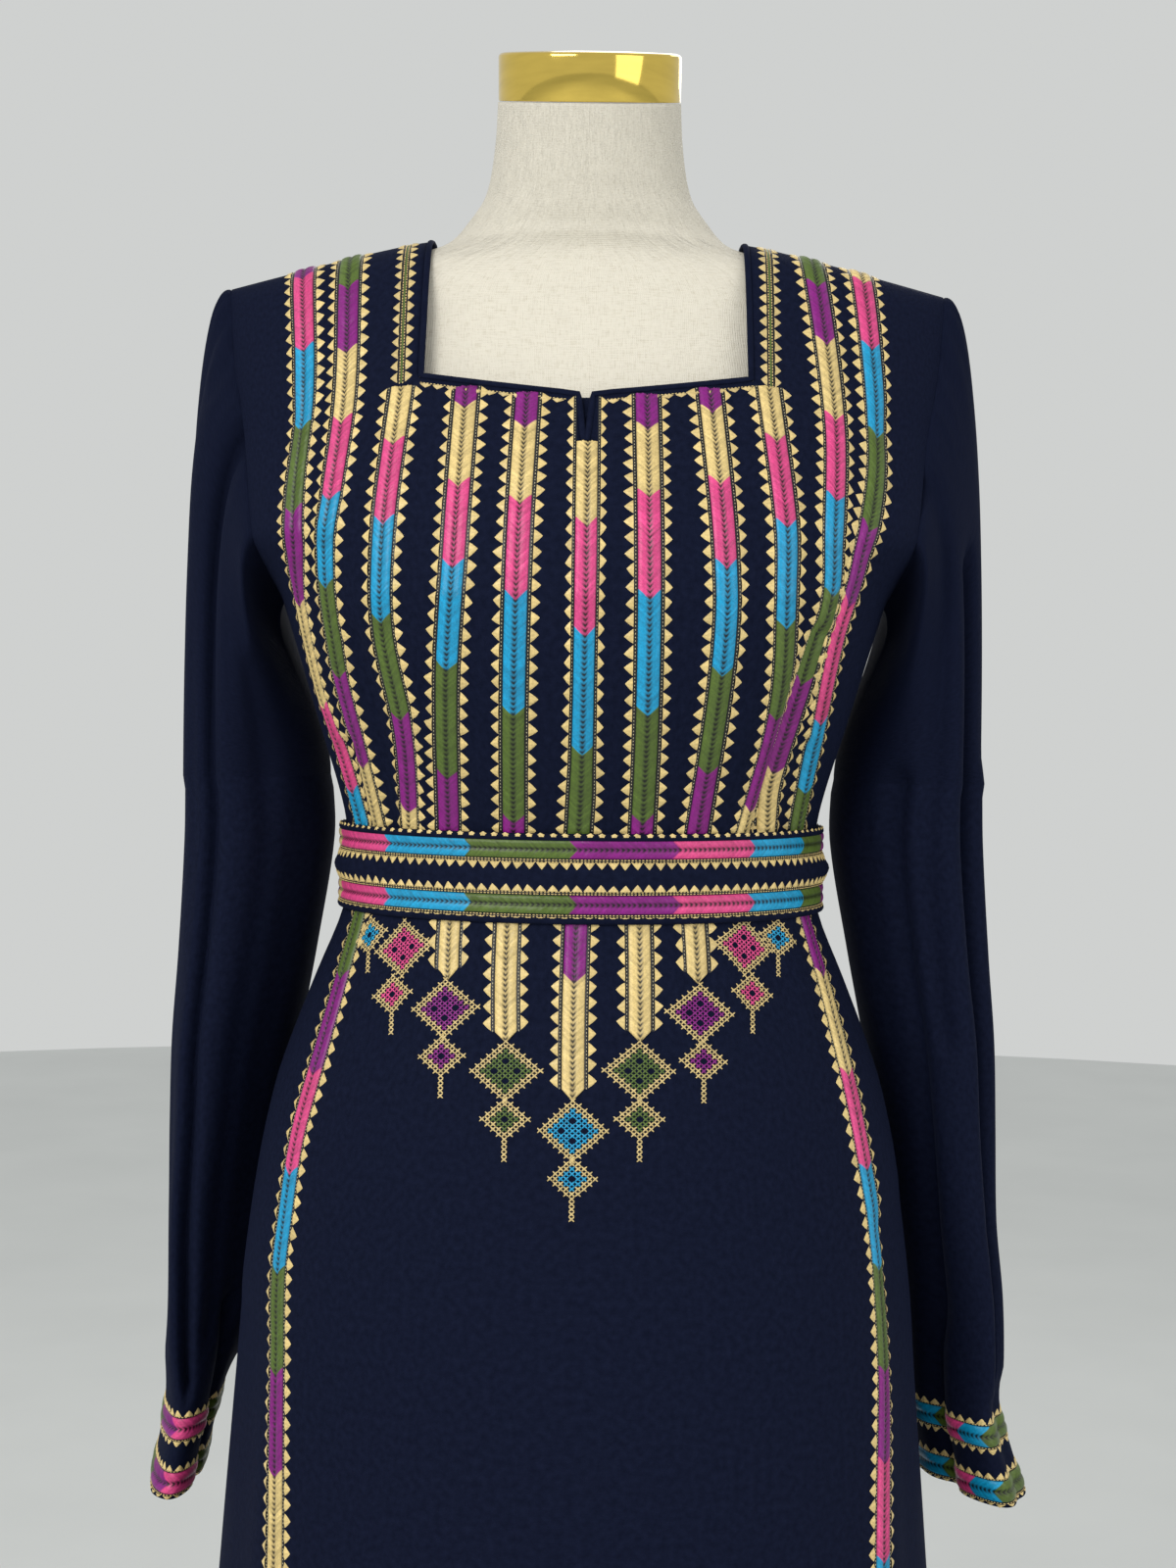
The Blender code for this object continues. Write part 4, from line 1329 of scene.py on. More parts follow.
@dataclass
class Sleeves:
    """Both long sleeves, with the easing at their heads."""

    wall: float = 0.0010
    creases: dict[str, tuple[Crease, ...]] = field(default_factory=dict)
    surfaces: dict[str, SleeveSurface] = field(init=False)

    def __post_init__(self) -> None:
        """Makes the two tubes."""
        self.surfaces = {
            "sleeve_left": SleeveSurface(1.0, self.creases.get("sleeve_left", ())),
            "sleeve_right": SleeveSurface(-1.0, self.creases.get("sleeve_right", ())),
        }

    def build(self, crepe: bpy.types.Material) -> dict[str, bpy.types.Object]:
        """Makes both sleeves."""
        made = {}
        rows = np.concatenate([[-0.03], np.linspace(0.0, 0.2, 14), np.linspace(0.2, HEAD_ROWS, 30)[1:]])
        rows = np.concatenate([rows, 2.0 - np.linspace(1.092, 0.683, 76)])
        for name, surface in self.surfaces.items():
            places = np.linspace(0.0, 360.0, 109)
            if surface.side < 0:
                places = places[::-1]

            def place(p: np.ndarray, q: np.ndarray, sheet: SleeveSurface = surface) -> np.ndarray:
                """The sleeve, with its first row drawn in under the armhole."""
                spots = sheet.point(p % 360.0, np.maximum(q, 0.0))
                under = q < 0.0
                middle = np.array([sheet.side * 0.19, 0.0, 1.29])
                inward = (spots - middle) * (0.0, 0.025, 0.025)
                inward[:, 0] = sheet.side * 0.0050
                return np.where(under[:, None], spots - inward, spots)

            piece = mapped_grid(name + "_cloth", places, rows, place, (0.0008, 1.0), None, True)
            dress_piece(piece, crepe, (name,), self.wall)
            made[name] = piece
        return made


@dataclass
class WaistBelt:
    """The belt with its puffed middle, and its two pipings."""

    wall: float = 0.0014
    surface: BeltSurface = field(default_factory=BeltSurface)

    def build(self, crepe: bpy.types.Material) -> list[bpy.types.Object]:
        """Makes the belt and the piping."""
        columns = np.linspace(1.0, 0.0, 321)
        rows = np.linspace(BELT_LOW, BELT_HIGH, 21)
        belt = mapped_grid("belt_band", columns, rows, self.surface.point, (0.78, 1.0))
        dress_piece(belt, crepe, ("belt",), self.wall)
        share = np.linspace(0.0, 1.0, 281)
        pieces = [belt]
        for name, height in (("bottom", BELT_LOW - 0.0019), ("top", BELT_HIGH + 0.0019)):
            edge = self.surface.point(share, np.full(len(share), min(max(height, BELT_LOW), BELT_HIGH)))
            out = self.surface.normal(share, np.full(len(share), BELT_LOW + 0.002))
            edge[:, 2] = height
            cord = cord_along("belt_cord_" + name, edge - out * 0.0008, out, (0.0021, 0.0019), False)
            dress_piece(cord, crepe, ("belt_piping_" + name,))
            pieces.append(cord)
        return pieces


@dataclass
class NeckBinding:
    """The binding round the neck edge and down the slit, with the facing behind the slit."""

    body: DressBody
    half_width: float = 0.0017
    half_height: float = 0.0012

    def line(self) -> tuple[np.ndarray, np.ndarray]:
        """The binding's centre line and the directions off the cloth."""
        front, back = self.body.front, self.body.back
        inset = 0.45
        down = np.linspace(88.0, 47.0, 24)
        corner = np.full(len(down), NECK_COLUMN - inset)
        across = np.linspace(NECK_COLUMN - inset, 3.2, 30)
        spots, outs = [], []
        for p, turn in ((corner, down), (across, neck_turn(across) + 0.5)):
            spots.append(front.point(p, row_of(turn)))
            outs.append(front.normal(p, row_of(turn)))
        slit = np.linspace(neck_turn(np.array(1.5)) + 0.2, SLIT_TURN + 0.6, 10)
        q = row_of(slit)
        side = front.point(np.full(10, 1.5), q)
        side[:, 0] = 0.0008 + 0.0030 * np.linspace(1.0, 0.0, 10) ** 0.9
        spots.append(side)
        outs.append(front.normal(np.full(10, 1.5), q))
        right, right_out = np.concatenate(spots), np.concatenate(outs)
        mirror = np.array([-1.0, 1.0, 1.0])
        left, left_out = right[::-1] * mirror, right_out[::-1] * mirror
        p = np.concatenate([np.full(8, NECK_COLUMN - inset), np.linspace(NECK_COLUMN - inset, 0.0, 16)[1:]])
        q = row_of(np.concatenate([np.linspace(88.0, 60.0, 8), np.full(15, BACK_NECK_TURN + 0.6)]))
        half, half_out = back.point(p, q), back.normal(p, q)
        rest, rest_out = half[::-1][1:] * mirror, half_out[::-1][1:] * mirror
        return (
            np.concatenate([right, left, half, rest]),
            np.concatenate([right_out, left_out, half_out, rest_out]),
        )

    def build(self, crepe: bpy.types.Material) -> list[bpy.types.Object]:
        """Makes the binding and the facing."""
        spots, outs = self.line()
        cord = cord_along("neck_binding_cord", spots, outs, (self.half_width, self.half_height), True)
        dress_piece(cord, crepe, ("neck_binding",))

        def place(p: np.ndarray, q: np.ndarray) -> np.ndarray:
            """The facing, close under the cloth."""
            return self.body.front.point(p, q) - self.body.front.normal(p, q) * 0.0021

        columns, rows = np.linspace(-4.5, 4.5, 9), np.linspace(row_of(25.0), row_of(39.8), 14)
        facing = mapped_grid("slit_facing", columns, rows, place, (0.0033, 1.0))
        dress_piece(facing, crepe, (), 0.0006)
        return [cord, facing]


@dataclass
class DressForm:
    """The linen torso, the brass cap and the steel stand."""

    def torso_point(self, p: np.ndarray, q: np.ndarray) -> np.ndarray:
        """The form's skin at this angle and height."""
        half, front, back, square, forward, tilt = read_table(TORSO, q)
        x, y = oval(np.radians(p % 360.0), half, front, back, square)
        return np.stack([x, y - forward, q + tilt * y], axis=1)

    def build(self, linen: bpy.types.Material, brass: bpy.types.Material, steel: bpy.types.Material) -> None:
        """Makes the form's four pieces."""
        rows = np.concatenate([np.linspace(0.720, 1.33, 70), np.linspace(1.33, 1.475, 70)[1:]])
        torso = mapped_grid(
            "form_body", np.linspace(0.0, 360.0, 121), rows, self.torso_point, (0.0028, 1.0), None, True, True
        )
        dress_piece(torso, linen, ("form_torso",))
        cap = turned_piece("neck_cap", CAP_PROFILE, (0.0, -0.015, 1.475), math.atan(0.27))
        dress_piece(cap, brass, ("form_neck_cap",))
        pole = turned_piece("stand_pole", POLE_PROFILE, (0.0, 0.0, 0.0), 0.0)
        dress_piece(pole, steel, ("form_pole",))
        base = turned_piece("stand_base", BASE_PROFILE, (0.0, 0.0, 0.0), 0.0)
        dress_piece(base, steel, ("form_base",))


# ---- embroidery lines ---------------------------------------------------------------------
C, P, K, B, G = Thread.CREAM, Thread.PURPLE, Thread.PINK, Thread.BLUE, Thread.GREEN


@dataclass(frozen=True)
class Stripe:
    """One stripe: its line as (across, height) spots from the top, and where each thread ends."""

    line: tuple[tuple[float, float], ...]
    threads: tuple[tuple[Thread, float], ...]
    tip: float = 0.0
    edge_top: float | None = None

    def strip(self, surface: DressSide, reach: float = 0.014) -> Strip:
        """The band of cloth below the stripe."""
        rows = tuple(sorted((z, x) for x, z in self.line))
        heights = np.linspace(rows[-1][0], rows[0][0], 160)
        p, q = surface.find(read_table(rows, heights)[0], heights)
        return Strip(surface, p, q, reach)

    def sew(self, work: StitchWork, surface: DressSide, style: BandStyle) -> None:
        """Stitches the stripe."""
        strip = self.strip(surface)
        changes = [(thread, strip.along_at(height)) for thread, height in self.threads]
        changes[-1] = (changes[-1][0], strip.length + 1.0)
        top = 0.0 if self.edge_top is None else strip.along_at(self.edge_top)
        work.band(strip, top, strip.length, changes, style, self.tip, 0.0)


BODICE = {
    "centre": Stripe(
        ((0.0014, 1.3025), (0.0014, 1.2775), (0.0013, 1.201), (-0.0001, 1.1015), (-0.0014, 1.0725)),
        ((C, 1.2322), (K, 1.1765), (B, 1.1168), (G, 1.0497)),
        edge_top=1.2775,
    ),
    "right_1": Stripe(
        ((-0.0305, 1.3045), (-0.0334, 1.2205), (-0.035, 1.1416), (-0.0353, 1.0725)),
        ((P, 1.2837), (C, 1.2431), (K, 1.1948), (B, 1.1366), (G, 1.0801), (P, 1.049)),
    ),
    "right_2": Stripe(
        ((-0.0624, 1.308), (-0.0658, 1.2205), (-0.0698, 1.1512), (-0.0699, 1.0725)),
        ((P, 1.2947), (C, 1.2525), (K, 1.2105), (B, 1.1587), (G, 1.1027), (P, 1.0477)),
    ),
    "right_3": Stripe(
        ((-0.0969, 1.3086), (-0.1033, 1.226), (-0.1033, 1.181), (-0.0932, 1.1255), (-0.0916, 1.0725)),
        ((C, 1.2754), (K, 1.2335), (B, 1.1835), (G, 1.1331), (P, 1.0833), (C, 1.0464)),
    ),
    "right_4": Stripe(
        (
            (-0.1310, 1.3900),
            (-0.1279, 1.3066),
            (-0.132, 1.2526),
            (-0.1355, 1.2218),
            (-0.1292, 1.161),
            (-0.1201, 1.1194),
            (-0.1105, 1.0725),
        ),
        ((G, 1.3662), (P, 1.3278), (C, 1.2891), (K, 1.2463), (B, 1.2017), (G, 1.1544), (P, 1.1062), (C, 1.0447)),
    ),
    "right_5": Stripe(
        (
            (-0.1575, 1.3835),
            (-0.1513, 1.308),
            (-0.155, 1.2537),
            (-0.1535, 1.2126),
            (-0.143, 1.1507),
            (-0.1329, 1.1189),
            (-0.1210, 1.0725),
        ),
        ((P, 1.3739), (K, 1.3303), (B, 1.2861), (G, 1.2404), (P, 1.1923), (C, 1.1375), (K, 1.092), (B, 1.0436)),
    ),
    "left_1": Stripe(
        ((0.0317, 1.3042), (0.0333, 1.2014), (0.0332, 1.1273), (0.0318, 1.0725)),
        ((P, 1.2834), (C, 1.2475), (K, 1.1955), (B, 1.1373), (G, 1.0809), (P, 1.0498)),
    ),
    "left_2": Stripe(
        ((0.0646, 1.3085), (0.0727, 1.2023), (0.0705, 1.1528), (0.0608, 1.0725)),
        ((P, 1.2942), (C, 1.2552), (K, 1.2122), (B, 1.1578), (G, 1.1069), (P, 1.0494)),
    ),
    "left_3": Stripe(
        ((0.0959, 1.3109), (0.1038, 1.2334), (0.1041, 1.2033), (0.1025, 1.143), (0.0866, 1.0725)),
        ((C, 1.2793), (K, 1.2334), (B, 1.1823), (G, 1.1353), (P, 1.0855), (C, 1.0486)),
    ),
    "left_4": Stripe(
        (
            (0.1230, 1.3915),
            (0.1318, 1.2935),
            (0.1298, 1.2347),
            (0.1286, 1.1993),
            (0.1194, 1.1637),
            (0.1025, 1.1012),
            (0.1000, 1.0725),
        ),
        ((G, 1.3706), (P, 1.3366), (C, 1.2935), (K, 1.2487), (B, 1.1993), (G, 1.1545), (P, 1.1065), (C, 1.0479)),
    ),
    "left_5": Stripe(
        (
            (0.1510, 1.3853),
            (0.1554, 1.3121),
            (0.1564, 1.2682),
            (0.1482, 1.2256),
            (0.1339, 1.1794),
            (0.1247, 1.1168),
            (0.1180, 1.0725),
        ),
        ((C, 1.3751), (K, 1.3354), (B, 1.2862), (G, 1.2348), (P, 1.1949), (K, 1.1327), (B, 1.0951), (G, 1.0474)),
    ),
}
SKIRT = {
    "centre": Stripe(
        ((-0.0019, 1.0310), (-0.0029, 0.9845), (-0.0028, 0.9384)), ((P, 0.9973), (C, 0.9)), tip=0.0065
    ),
    "right_1": Stripe(((-0.0379, 1.0310), (-0.0384, 0.9985), (-0.0377, 0.9669)), ((C, 0.9),), tip=0.0060),
    "left_1": Stripe(((0.0309, 1.0310), (0.0316, 0.9994), (0.0318, 0.9678)), ((C, 0.9),), tip=0.0060),
    "right_2": Stripe(((-0.0684, 1.0310), (-0.069, 1.0145), (-0.069, 0.9971)), ((C, 0.9),), tip=0.0060),
    "left_2": Stripe(((0.0600, 1.0310), (0.0611, 1.0163), (0.0621, 0.9968)), ((C, 0.9),), tip=0.0060),
}
SIDE_RIGHT = (
    (-0.1200, 1.0310),
    (-0.1219, 1.0223),
    (-0.1311, 0.9859),
    (-0.1419, 0.9446),
    (-0.1513, 0.9078),
    (-0.1569, 0.866),
    (-0.16, 0.8347),
    (-0.1597, 0.7838),
    (-0.1591, 0.7327),
    (-0.1587, 0.6815),
    (-0.1600, 0.55),
    (-0.1650, 0.35),
    (-0.1720, 0.15),
    (-0.1780, 0.034),
)
SIDE_LEFT = (
    (0.1220, 1.0310),
    (0.1239, 1.0246),
    (0.1327, 0.9948),
    (0.1398, 0.9675),
    (0.1458, 0.9429),
    (0.1516, 0.9159),
    (0.156, 0.8924),
    (0.1612, 0.8632),
    (0.1641, 0.838),
    (0.1669, 0.7849),
    (0.1664, 0.7336),
    (0.1661, 0.6823),
    (0.1670, 0.55),
    (0.1710, 0.35),
    (0.1770, 0.15),
    (0.1830, 0.034),
)


def run_on(first: tuple[tuple[Thread, float], ...], start: float, length: float) -> tuple[tuple[Thread, float], ...]:
    """Goes on with the repeat of threads down to the hem."""
    found, height = list(first), start
    thread = REPEAT.index(first[-1][0])
    while height > HEM:
        height -= length
        thread = (thread + 1) % len(REPEAT)
        found.append((REPEAT[thread], height))
    return tuple(found)


# thread, middle (across, height), radius in steps
DIAMONDS = (
    (B, -0.0026, 0.9237, 6),
    (B, -0.0026, 0.8996, 4),
    (G, -0.0376, 0.9528, 6),
    (G, -0.0376, 0.9287, 4),
    (G, 0.0317, 0.9537, 6),
    (G, 0.0320, 0.9296, 4),
    (P, -0.0702, 0.9826, 6),
    (P, -0.0714, 0.9585, 4),
    (P, 0.0634, 0.9819, 6),
    (P, 0.0652, 0.9578, 4),
    (K, -0.0937, 1.0114, 6),
    (K, -0.0990, 0.9875, 4),
    (K, 0.0872, 1.0147, 6),
    (K, 0.0915, 0.9908, 4),
    (B, -0.1125, 1.0165, 4),
    (B, 0.1062, 1.0180, 4),
)


def diamond_steps(thread: Thread, radius: int) -> list[tuple[int, int, Thread]]:
    """The counted chart of one diamond: a gold rim round a coloured middle with small gaps."""
    rim = radius - 2
    holes = {(0, 2), (0, -2), (2, 0), (-2, 0)} if radius == 6 else {(0, 0)}
    steps = []
    for column in range(-radius, radius + 1):
        for row in range(-radius, radius + 1):
            far = abs(column) + abs(row)
            if far > radius or (column, row) in holes:
                continue
            steps.append((column, row, Thread.GOLD if far > rim else thread))
    return steps


# threads in order round each cuff, with the place at which each one ends
CUFF_THREADS = {
    "sleeve_right": ((B, -30.0), (G, 50.0), (P, 88.0), (K, 150.0), (G, 200.0), (B, 240.0), (P, 272.0)),
    "sleeve_left": (
        *((P, -30.0), (K, 20.0), (G, 98.0), (B, 120.0)),
        *((K, 153.0), (G, 165.0), (B, 225.0), (G, 272.0)),
    ),
}


@dataclass
class Embroidery:
    """All the stitching, in one piece for each region of the dress."""

    body: DressBody
    sleeves: Sleeves
    belt: WaistBelt
    thread: bpy.types.Material
    style: BandStyle = field(default_factory=BandStyle)

    def bodice(self) -> bpy.types.Object:
        """The eleven stripes above the belt."""
        work = StitchWork("bodice_stitching", 11)
        for stripe in BODICE.values():
            stripe.sew(work, self.body.front, self.style)
        return work.finish(self.thread)

    def skirt(self) -> bpy.types.Object:
        """The pointed stripes, the diamonds and the long side stripes."""
        work = StitchWork("skirt_stitching", 12)
        for stripe in SKIRT.values():
            stripe.sew(work, self.body.front, self.style)
        right = ((G, 0.991), (P, 0.9404), (K, 0.887), (B, 0.8347), (G, 0.7813), (P, 0.7286))
        left = ((P, 0.9948), (C, 0.9429), (K, 0.8924), (B, 0.838), (G, 0.7839), (P, 0.7362), (K, 0.6843))
        Stripe(SIDE_RIGHT, run_on(right, 0.7286, 0.054)).sew(work, self.body.front, self.style)
        Stripe(SIDE_LEFT, run_on(left, 0.6843, 0.054)).sew(work, self.body.front, self.style)
        for thread, across, height, radius in DIAMONDS:
            line = ((across, height + 0.022), (across, height), (across, height - 0.030))
            strip = Stripe(line, ((thread, 0.0),)).strip(self.body.front, 0.022)
            steps = diamond_steps(thread, radius)
            if radius == 4:
                steps += [(0, row, Thread.GOLD) for row in range(5, 9)]
            work.crosses(strip, steps, (strip.along_at(height), 0.0))
        return work.finish(self.thread)

    def neck(self) -> bpy.types.Object:
        """The edging below the neck and down its sides."""
        work = StitchWork("neck_stitching", 13)
        front = self.body.front
        for side in (-1.0, 1.0):
            turn = np.linspace(88.5, 43.2, 70)
            column = side * (NECK_COLUMN + 3.6 + 0.5 * (turn - 43.2) / 45.0)
            strip = Strip(front, column, row_of(turn), 0.010)
            for offset in (-0.0009, 0.0009):
                work.dashes(strip, 0.0, strip.length, offset, Thread.CREAM)
            work.ribbon(strip, 0.0, strip.length, 0.0, 0.0009, Thread.GREEN)
            for way in (-1.0, 1.0):
                work.ribbon(strip, 0.0, strip.length, way * 0.0018, 0.0010, Thread.OUTLINE)
                work.scallops(strip, 0.0, strip.length, way * 0.0022, way, 0.0040, 0.0076, Thread.GOLD)
            column = side * np.linspace(NECK_COLUMN - 0.2, 2.4, 80)
            turn = neck_turn(column) - 1.15
            if side > 0:
                column, turn = column[::-1], turn[::-1]
            strip = Strip(front, column, row_of(turn), 0.006)
            work.dashes(strip, 0.0, strip.length, 0.0, Thread.GOLD)
            facing = 1.0 if self.points_down(strip) else -1.0
            work.scallops(strip, 0.0, strip.length, facing * 0.0006, facing, 0.0022, 0.0070, Thread.GOLD)
        return work.finish(self.thread)

    def points_down(self, strip: Strip) -> bool:
        """Whether the strip's positive side is the lower one."""
        middle = strip.spots.shape[0] // 2
        return bool(strip.spots[middle, -1, 2] < strip.spots[middle, 0, 2])

    def belt_bands(self) -> bpy.types.Object:
        """The two bands round the belt."""
        work = StitchWork("belt_stitching", 14)
        surface = self.belt.surface
        share = np.linspace(0.985, 0.004, 900)
        style = BandStyle(half=0.0049, outline=0.0014, pad=0.0009)
        for height, inner in ((1.0668, 1.0), (1.0379, -1.0)):
            strip = Strip(surface, share, np.full(len(share), height), 0.011)
            down = 1.0 if self.points_down(strip) else -1.0
            changes = self.belt_changes(strip)
            work.satin(strip, 0.0, strip.length, changes, style)
            for way in (-1.0, 1.0):
                at_inner = way * down * inner > 0
                for step in (0.0006, 0.0017):
                    work.dashes(strip, 0.0, strip.length, way * (style.half + step), Thread.CREAM)
                work.ribbon(strip, 0.0, strip.length, way * (style.half + 0.0011), 0.0006, Thread.OUTLINE)
                tall, foot = (0.0036, 0.0021) if at_inner else (0.0019, 0.0018)
                work.scallops(strip, 0.0, strip.length, way * (style.half + foot), way, tall, 0.0063)
        return work.finish(self.thread)

    def belt_changes(self, strip: Strip) -> list[tuple[Thread, float]]:
        """Where the threads change round the belt, from the (across) of each change in front."""
        front = (
            (C, -0.1315),
            (K, -0.1020),
            (B, -0.0570),
            (G, -0.0010),
            (P, 0.0525),
            (K, 0.0930),
            (B, 0.1215),
            (G, 0.1335),
        )
        ahead = strip.centre[:, 1] < 0
        where = np.flatnonzero(ahead)
        x = strip.centre[where, 0]
        along = where * strip.step
        order = np.argsort(x)
        marks = [(thread, float(np.interp(at, x[order], along[order]))) for thread, at in front]
        marks.sort(key=lambda mark: mark[1])
        first, last = marks[0][1], marks[-1][1]
        before, after = [], []
        thread = REPEAT.index(C)
        for k in range(int(first / THREAD_RUN) + 1):
            before.append((REPEAT[(thread - 1 - k) % len(REPEAT)], first - 0.012 - THREAD_RUN * k))
        before.reverse()
        thread, spot = REPEAT.index(G), last
        while spot < strip.length:
            spot += THREAD_RUN
            thread = (thread + 1) % len(REPEAT)
            after.append((REPEAT[thread], spot))
        return before + marks + after

    def cuffs(self) -> list[bpy.types.Object]:
        """Two bands round each wrist."""
        made = []
        for seed, (name, surface) in enumerate(self.sleeves.surfaces.items()):
            work = StitchWork(name.replace("sleeve", "cuff") + "_stitching", 20 + seed)
            around = np.linspace(-88.0, 271.5, 400)
            style = BandStyle(half=0.0062, outline=0.0014, scallop_tall=0.0030)
            for height in (0.7235, 0.6920):
                strip = Strip(surface, around, np.full(len(around), 2.0 - height), 0.012)
                down = 1.0 if self.points_down(strip) else -1.0
                marks = []
                for thread, at in CUFF_THREADS[name]:
                    along = np.interp(at, around, np.linspace(0, strip.length, len(around)))
                    marks.append((thread, float(along)))
                marks[-1] = (marks[-1][0], strip.length + 1.0)
                work.satin(strip, 0.0, strip.length, marks, style)
                for way in (-1.0, 1.0):
                    lower = way * down > 0
                    last = lower and height < 0.70
                    work.dashes(strip, 0.0, strip.length, way * (style.half + 0.0006), Thread.CREAM)
                    tall = 0.0020 if last else 0.0036
                    work.scallops(strip, 0.0, strip.length, way * (style.half + 0.0011), way, tall, 0.0066)
            made.append(work.finish(self.thread))
        return made


@dataclass
class Studio:
    """The pale floor, the soft lights and the camera."""

    def build(self) -> None:
        """Sets up everything that isn't the object."""
        mesh = bmesh.new()
        bmesh.ops.create_circle(mesh, cap_ends=True, segments=96, radius=6.0)
        data = bpy.data.meshes.new("floor")
        mesh.to_mesh(data)
        mesh.free()
        floor = linked("floor", data)
        floor.location.z = -0.0005
        data.materials.append(Plaster().make())
        world = bpy.data.worlds.new("soft_room")
        world.use_nodes = True
        background = world.node_tree.nodes["Background"]
        background.inputs["Color"].default_value = (0.80, 0.815, 0.805, 1.0)
        background.inputs["Strength"].default_value = 0.78
        bpy.context.scene.world = world
        bpy.context.scene.view_settings.view_transform = "Standard"
        self.lamp("key", (-1.5, -2.4, 2.6), (0.0, 0.0, 1.1), 1.6, 50.0)
        self.lamp("fill", (2.2, -1.9, 1.5), (0.0, 0.0, 0.9), 1.8, 15.0)
        self.lamp("rim", (0.6, 2.2, 2.6), (0.0, 0.0, 1.2), 1.4, 12.0)
        camera = bpy.data.cameras.new("camera")
        camera.lens = 50.4
        camera.sensor_fit = "VERTICAL"
        camera.sensor_height = 36.0
        camera.clip_start = 0.05
        holder = linked("camera", camera)
        pitch, roll = math.radians(90.0 - 2.25), math.radians(0.65)
        turned = Matrix.Rotation(pitch, 4, "X") @ Matrix.Rotation(roll, 4, "Z")
        holder.matrix_world = Matrix.Translation((0.0034, -1.244, 1.146)) @ turned
        bpy.context.scene.camera = holder

    def lamp(self, name: str, spot: tuple, aim: tuple, size: float, power: float) -> None:
        """A soft square light aimed at a spot."""
        data = bpy.data.lights.new(name, "AREA")
        data.size = size
        data.energy = power
        data.color = (1.0, 0.985, 0.96)
        lamp = linked(name, data)
        way = np.array(aim) - np.array(spot)
        way = way / np.linalg.norm(way)
        yaw = math.atan2(way[0], -way[1])
        tilt = math.acos(max(-1.0, min(1.0, -way[2])))
        turned = Matrix.Rotation(yaw + math.pi, 4, "Z") @ Matrix.Rotation(tilt, 4, "X")
        lamp.matrix_world = Matrix.Translation(spot) @ turned


# creases of the sleeves: degrees round the sleeve times CREASE_SCALE, and heights
SLEEVE_FOLDS = {
    "sleeve_right": (
        Crease(
            (
                *((0.0600, 1.36), (0.0608, 1.20), (0.0632, 1.10), (0.0640, 1.0)),
                *((0.0690, 0.90), (0.0750, 0.80), (0.0780, 0.75)),
            ),
            0.0068,
            -0.0125,
        ),
        Crease(((0.0380, 1.30), (0.0370, 1.10), (0.0440, 0.90), (0.0500, 0.78)), 0.0110, 0.0035),
        Crease(((0.1000, 1.16), (0.1020, 0.78)), 0.0090, -0.0040),
        Crease(((0.0416, 0.76), (0.0416, 0.683)), 0.0150, 0.0065),
        Crease(((0.1216, 0.79), (0.1216, 0.683)), 0.0060, -0.0060),
        Crease(((0.1560, 0.80), (0.1560, 0.768)), 0.0160, 0.0060),
        Crease(((0.0180, 1.35), (0.0150, 1.18), (0.0080, 1.02)), 0.0060, -0.0022),
        Crease(((0.2120, 1.30), (0.2060, 1.00), (0.2100, 0.76)), 0.0100, -0.0060),
        Crease(((0.2480, 1.28), (0.2500, 0.95)), 0.0090, -0.0030),
    ),
    "sleeve_left": (
        Crease(
            ((0.0430, 1.22), (0.0450, 1.10), (0.0470, 1.00), (0.0480, 0.90), (0.0490, 0.83), (0.0560, 0.76)),
            0.0066,
            -0.0105,
        ),
        Crease(((0.0760, 1.26), (0.0770, 1.15), (0.0830, 1.04), (0.0860, 0.96)), 0.0090, -0.0060),
        Crease(((0.0260, 1.10), (0.0280, 0.90), (0.0330, 0.76)), 0.0100, 0.0030),
        Crease(((0.1010, 1.10), (0.1080, 0.90), (0.1230, 0.77), (0.1260, 0.683)), 0.0080, -0.0085),
        Crease(((0.2100, 1.30), (0.2040, 1.00), (0.2120, 0.76)), 0.0100, -0.0060),
        Crease(((0.2500, 1.28), (0.2460, 0.95)), 0.0090, -0.0030),
        Crease(((0.0600, 0.735), (0.0580, 0.683)), 0.0150, -0.0085),
    ),
}
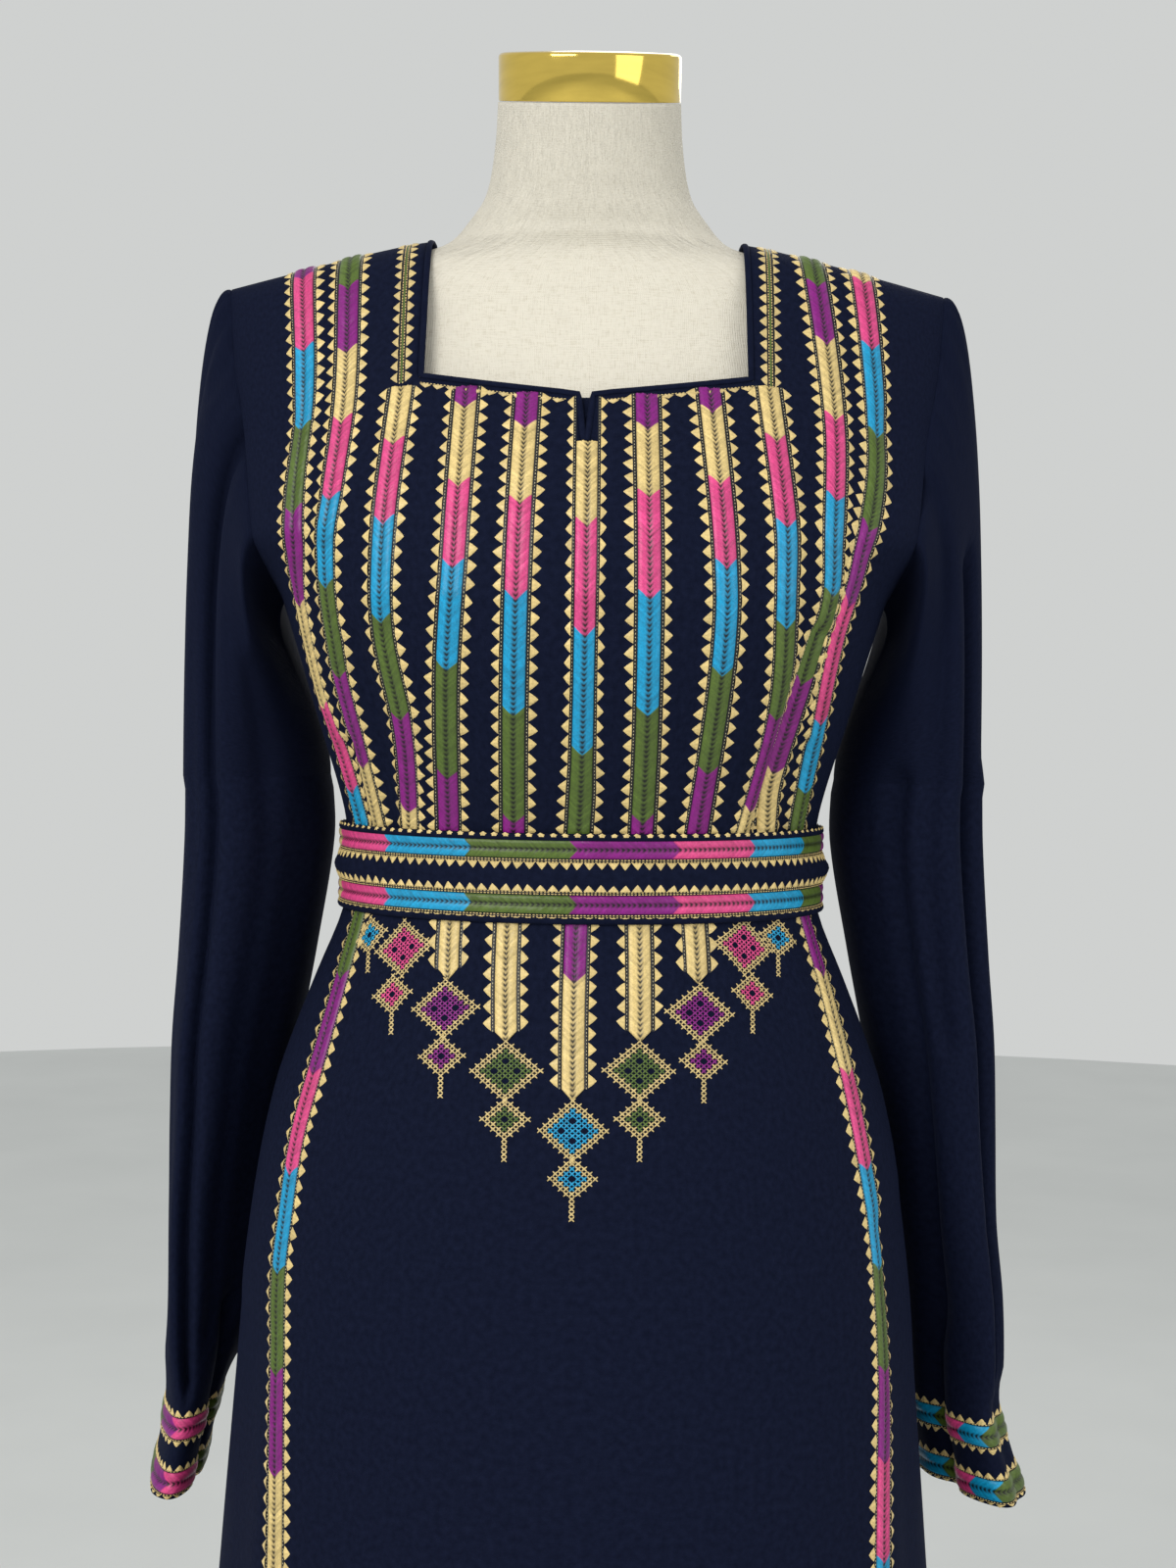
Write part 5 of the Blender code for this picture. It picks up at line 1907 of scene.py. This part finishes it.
# creases of the lengths: across and height
FRONT_CREASES = (
    Crease(((-0.0180, 1.080), (-0.0190, 1.102)), 0.0050, 0.0012),
    Crease(((0.0170, 1.080), (0.0180, 1.106)), 0.0050, 0.0011),
    Crease(((-0.0520, 1.080), (-0.0530, 1.110)), 0.0055, 0.0014),
    Crease(((0.0480, 1.080), (0.0520, 1.112)), 0.0055, 0.0014),
    Crease(((-0.0815, 1.078), (-0.0830, 1.130)), 0.0055, 0.0020),
    Crease(((0.0760, 1.078), (0.0850, 1.135)), 0.0060, 0.0022),
    Crease(((-0.1010, 1.076), (-0.1080, 1.128), (-0.1200, 1.175)), 0.0050, -0.0032),
    Crease(((0.0935, 1.076), (0.1060, 1.128), (0.1230, 1.180)), 0.0050, -0.0040),
    Crease(((0.1115, 1.076), (0.1190, 1.120)), 0.0048, -0.0030),
    Crease(((-0.1170, 1.076), (-0.1270, 1.120)), 0.0048, -0.0028),
    Crease(((-0.0200, 1.026), (-0.0215, 1.000)), 0.0055, 0.0012),
    Crease(((0.0150, 1.026), (0.0165, 0.996)), 0.0055, 0.0012),
    Crease(((-0.0530, 1.026), (-0.0560, 0.992)), 0.0060, 0.0014),
    Crease(((0.0470, 1.026), (0.0500, 0.990)), 0.0060, 0.0014),
    Crease(((-0.0830, 1.024), (-0.0900, 0.985)), 0.0060, 0.0016),
    Crease(((0.0760, 1.024), (0.0810, 0.985)), 0.0060, 0.0016),
    Crease(((-0.1080, 1.024), (-0.1200, 0.970)), 0.0070, 0.0018),
    Crease(((0.1120, 1.024), (0.1230, 0.975)), 0.0070, 0.0018),
    Crease(((0.1720, 0.860), (0.1830, 0.760), (0.1900, 0.640)), 0.0100, -0.0040),
    Crease(((-0.1780, 0.800), (-0.1880, 0.640)), 0.0120, -0.0035),
    Crease(((-0.1500, 1.225), (-0.1620, 1.290)), 0.0140, -0.0030),
    Crease(((0.1500, 1.225), (0.1640, 1.290)), 0.0140, -0.0030),
)
BACK_CREASES = (
    Crease(((0.0300, 1.078), (0.0320, 1.120)), 0.0060, 0.0018),
    Crease(((-0.0320, 1.078), (-0.0340, 1.118)), 0.0060, 0.0018),
    Crease(((0.0640, 1.078), (0.0720, 1.130)), 0.0060, 0.0020),
    Crease(((-0.0650, 1.078), (-0.0730, 1.128)), 0.0060, 0.0020),
    Crease(((0.0950, 1.076), (0.1080, 1.140)), 0.0060, -0.0028),
    Crease(((-0.0960, 1.076), (-0.1090, 1.138)), 0.0060, -0.0028),
    Crease(((0.0280, 1.026), (0.0330, 0.970)), 0.0080, 0.0022),
    Crease(((-0.0290, 1.026), (-0.0340, 0.965)), 0.0080, 0.0022),
    Crease(((0.0620, 1.026), (0.0740, 0.960)), 0.0080, 0.0022),
    Crease(((-0.0630, 1.026), (-0.0750, 0.962)), 0.0080, 0.0022),
    Crease(((0.1000, 1.024), (0.1180, 0.965)), 0.0080, 0.0020),
    Crease(((-0.1000, 1.024), (-0.1180, 0.965)), 0.0080, 0.0020),
    Crease(((0.0900, 1.330), (0.1200, 1.240)), 0.0160, -0.0030),
    Crease(((-0.0900, 1.330), (-0.1200, 1.240)), 0.0160, -0.0030),
)


def main() -> None:
    """Builds the dress and its form in order."""
    logging.basicConfig(level=logging.INFO, format="%(message)s")
    crepe, thread = Crepe().make(), SatinThread().make()
    linen = Linen().make()
    brass = Metal("polished_brass", (0.84, 0.61, 0.13), 0.10, 0.00002).make()
    steel = Metal("brushed_steel", (0.52, 0.52, 0.54), 0.32, 0.00008).make()
    DressForm().build(linen, brass, steel)
    body = DressBody(front_creases=FRONT_CREASES, back_creases=BACK_CREASES)
    lengths = body.build(crepe)
    sleeves = Sleeves(creases=SLEEVE_FOLDS)
    tubes = sleeves.build(crepe)
    belt = WaistBelt()
    belt_pieces = belt.build(crepe)
    NeckBinding(body).build(crepe)
    stitching = Embroidery(body, sleeves, belt, thread)
    stitching.bodice()
    stitching.skirt()
    stitching.neck()
    stitching.belt_bands()
    stitching.cuffs()
    Studio().build()


if __name__ == "__main__":
    main()
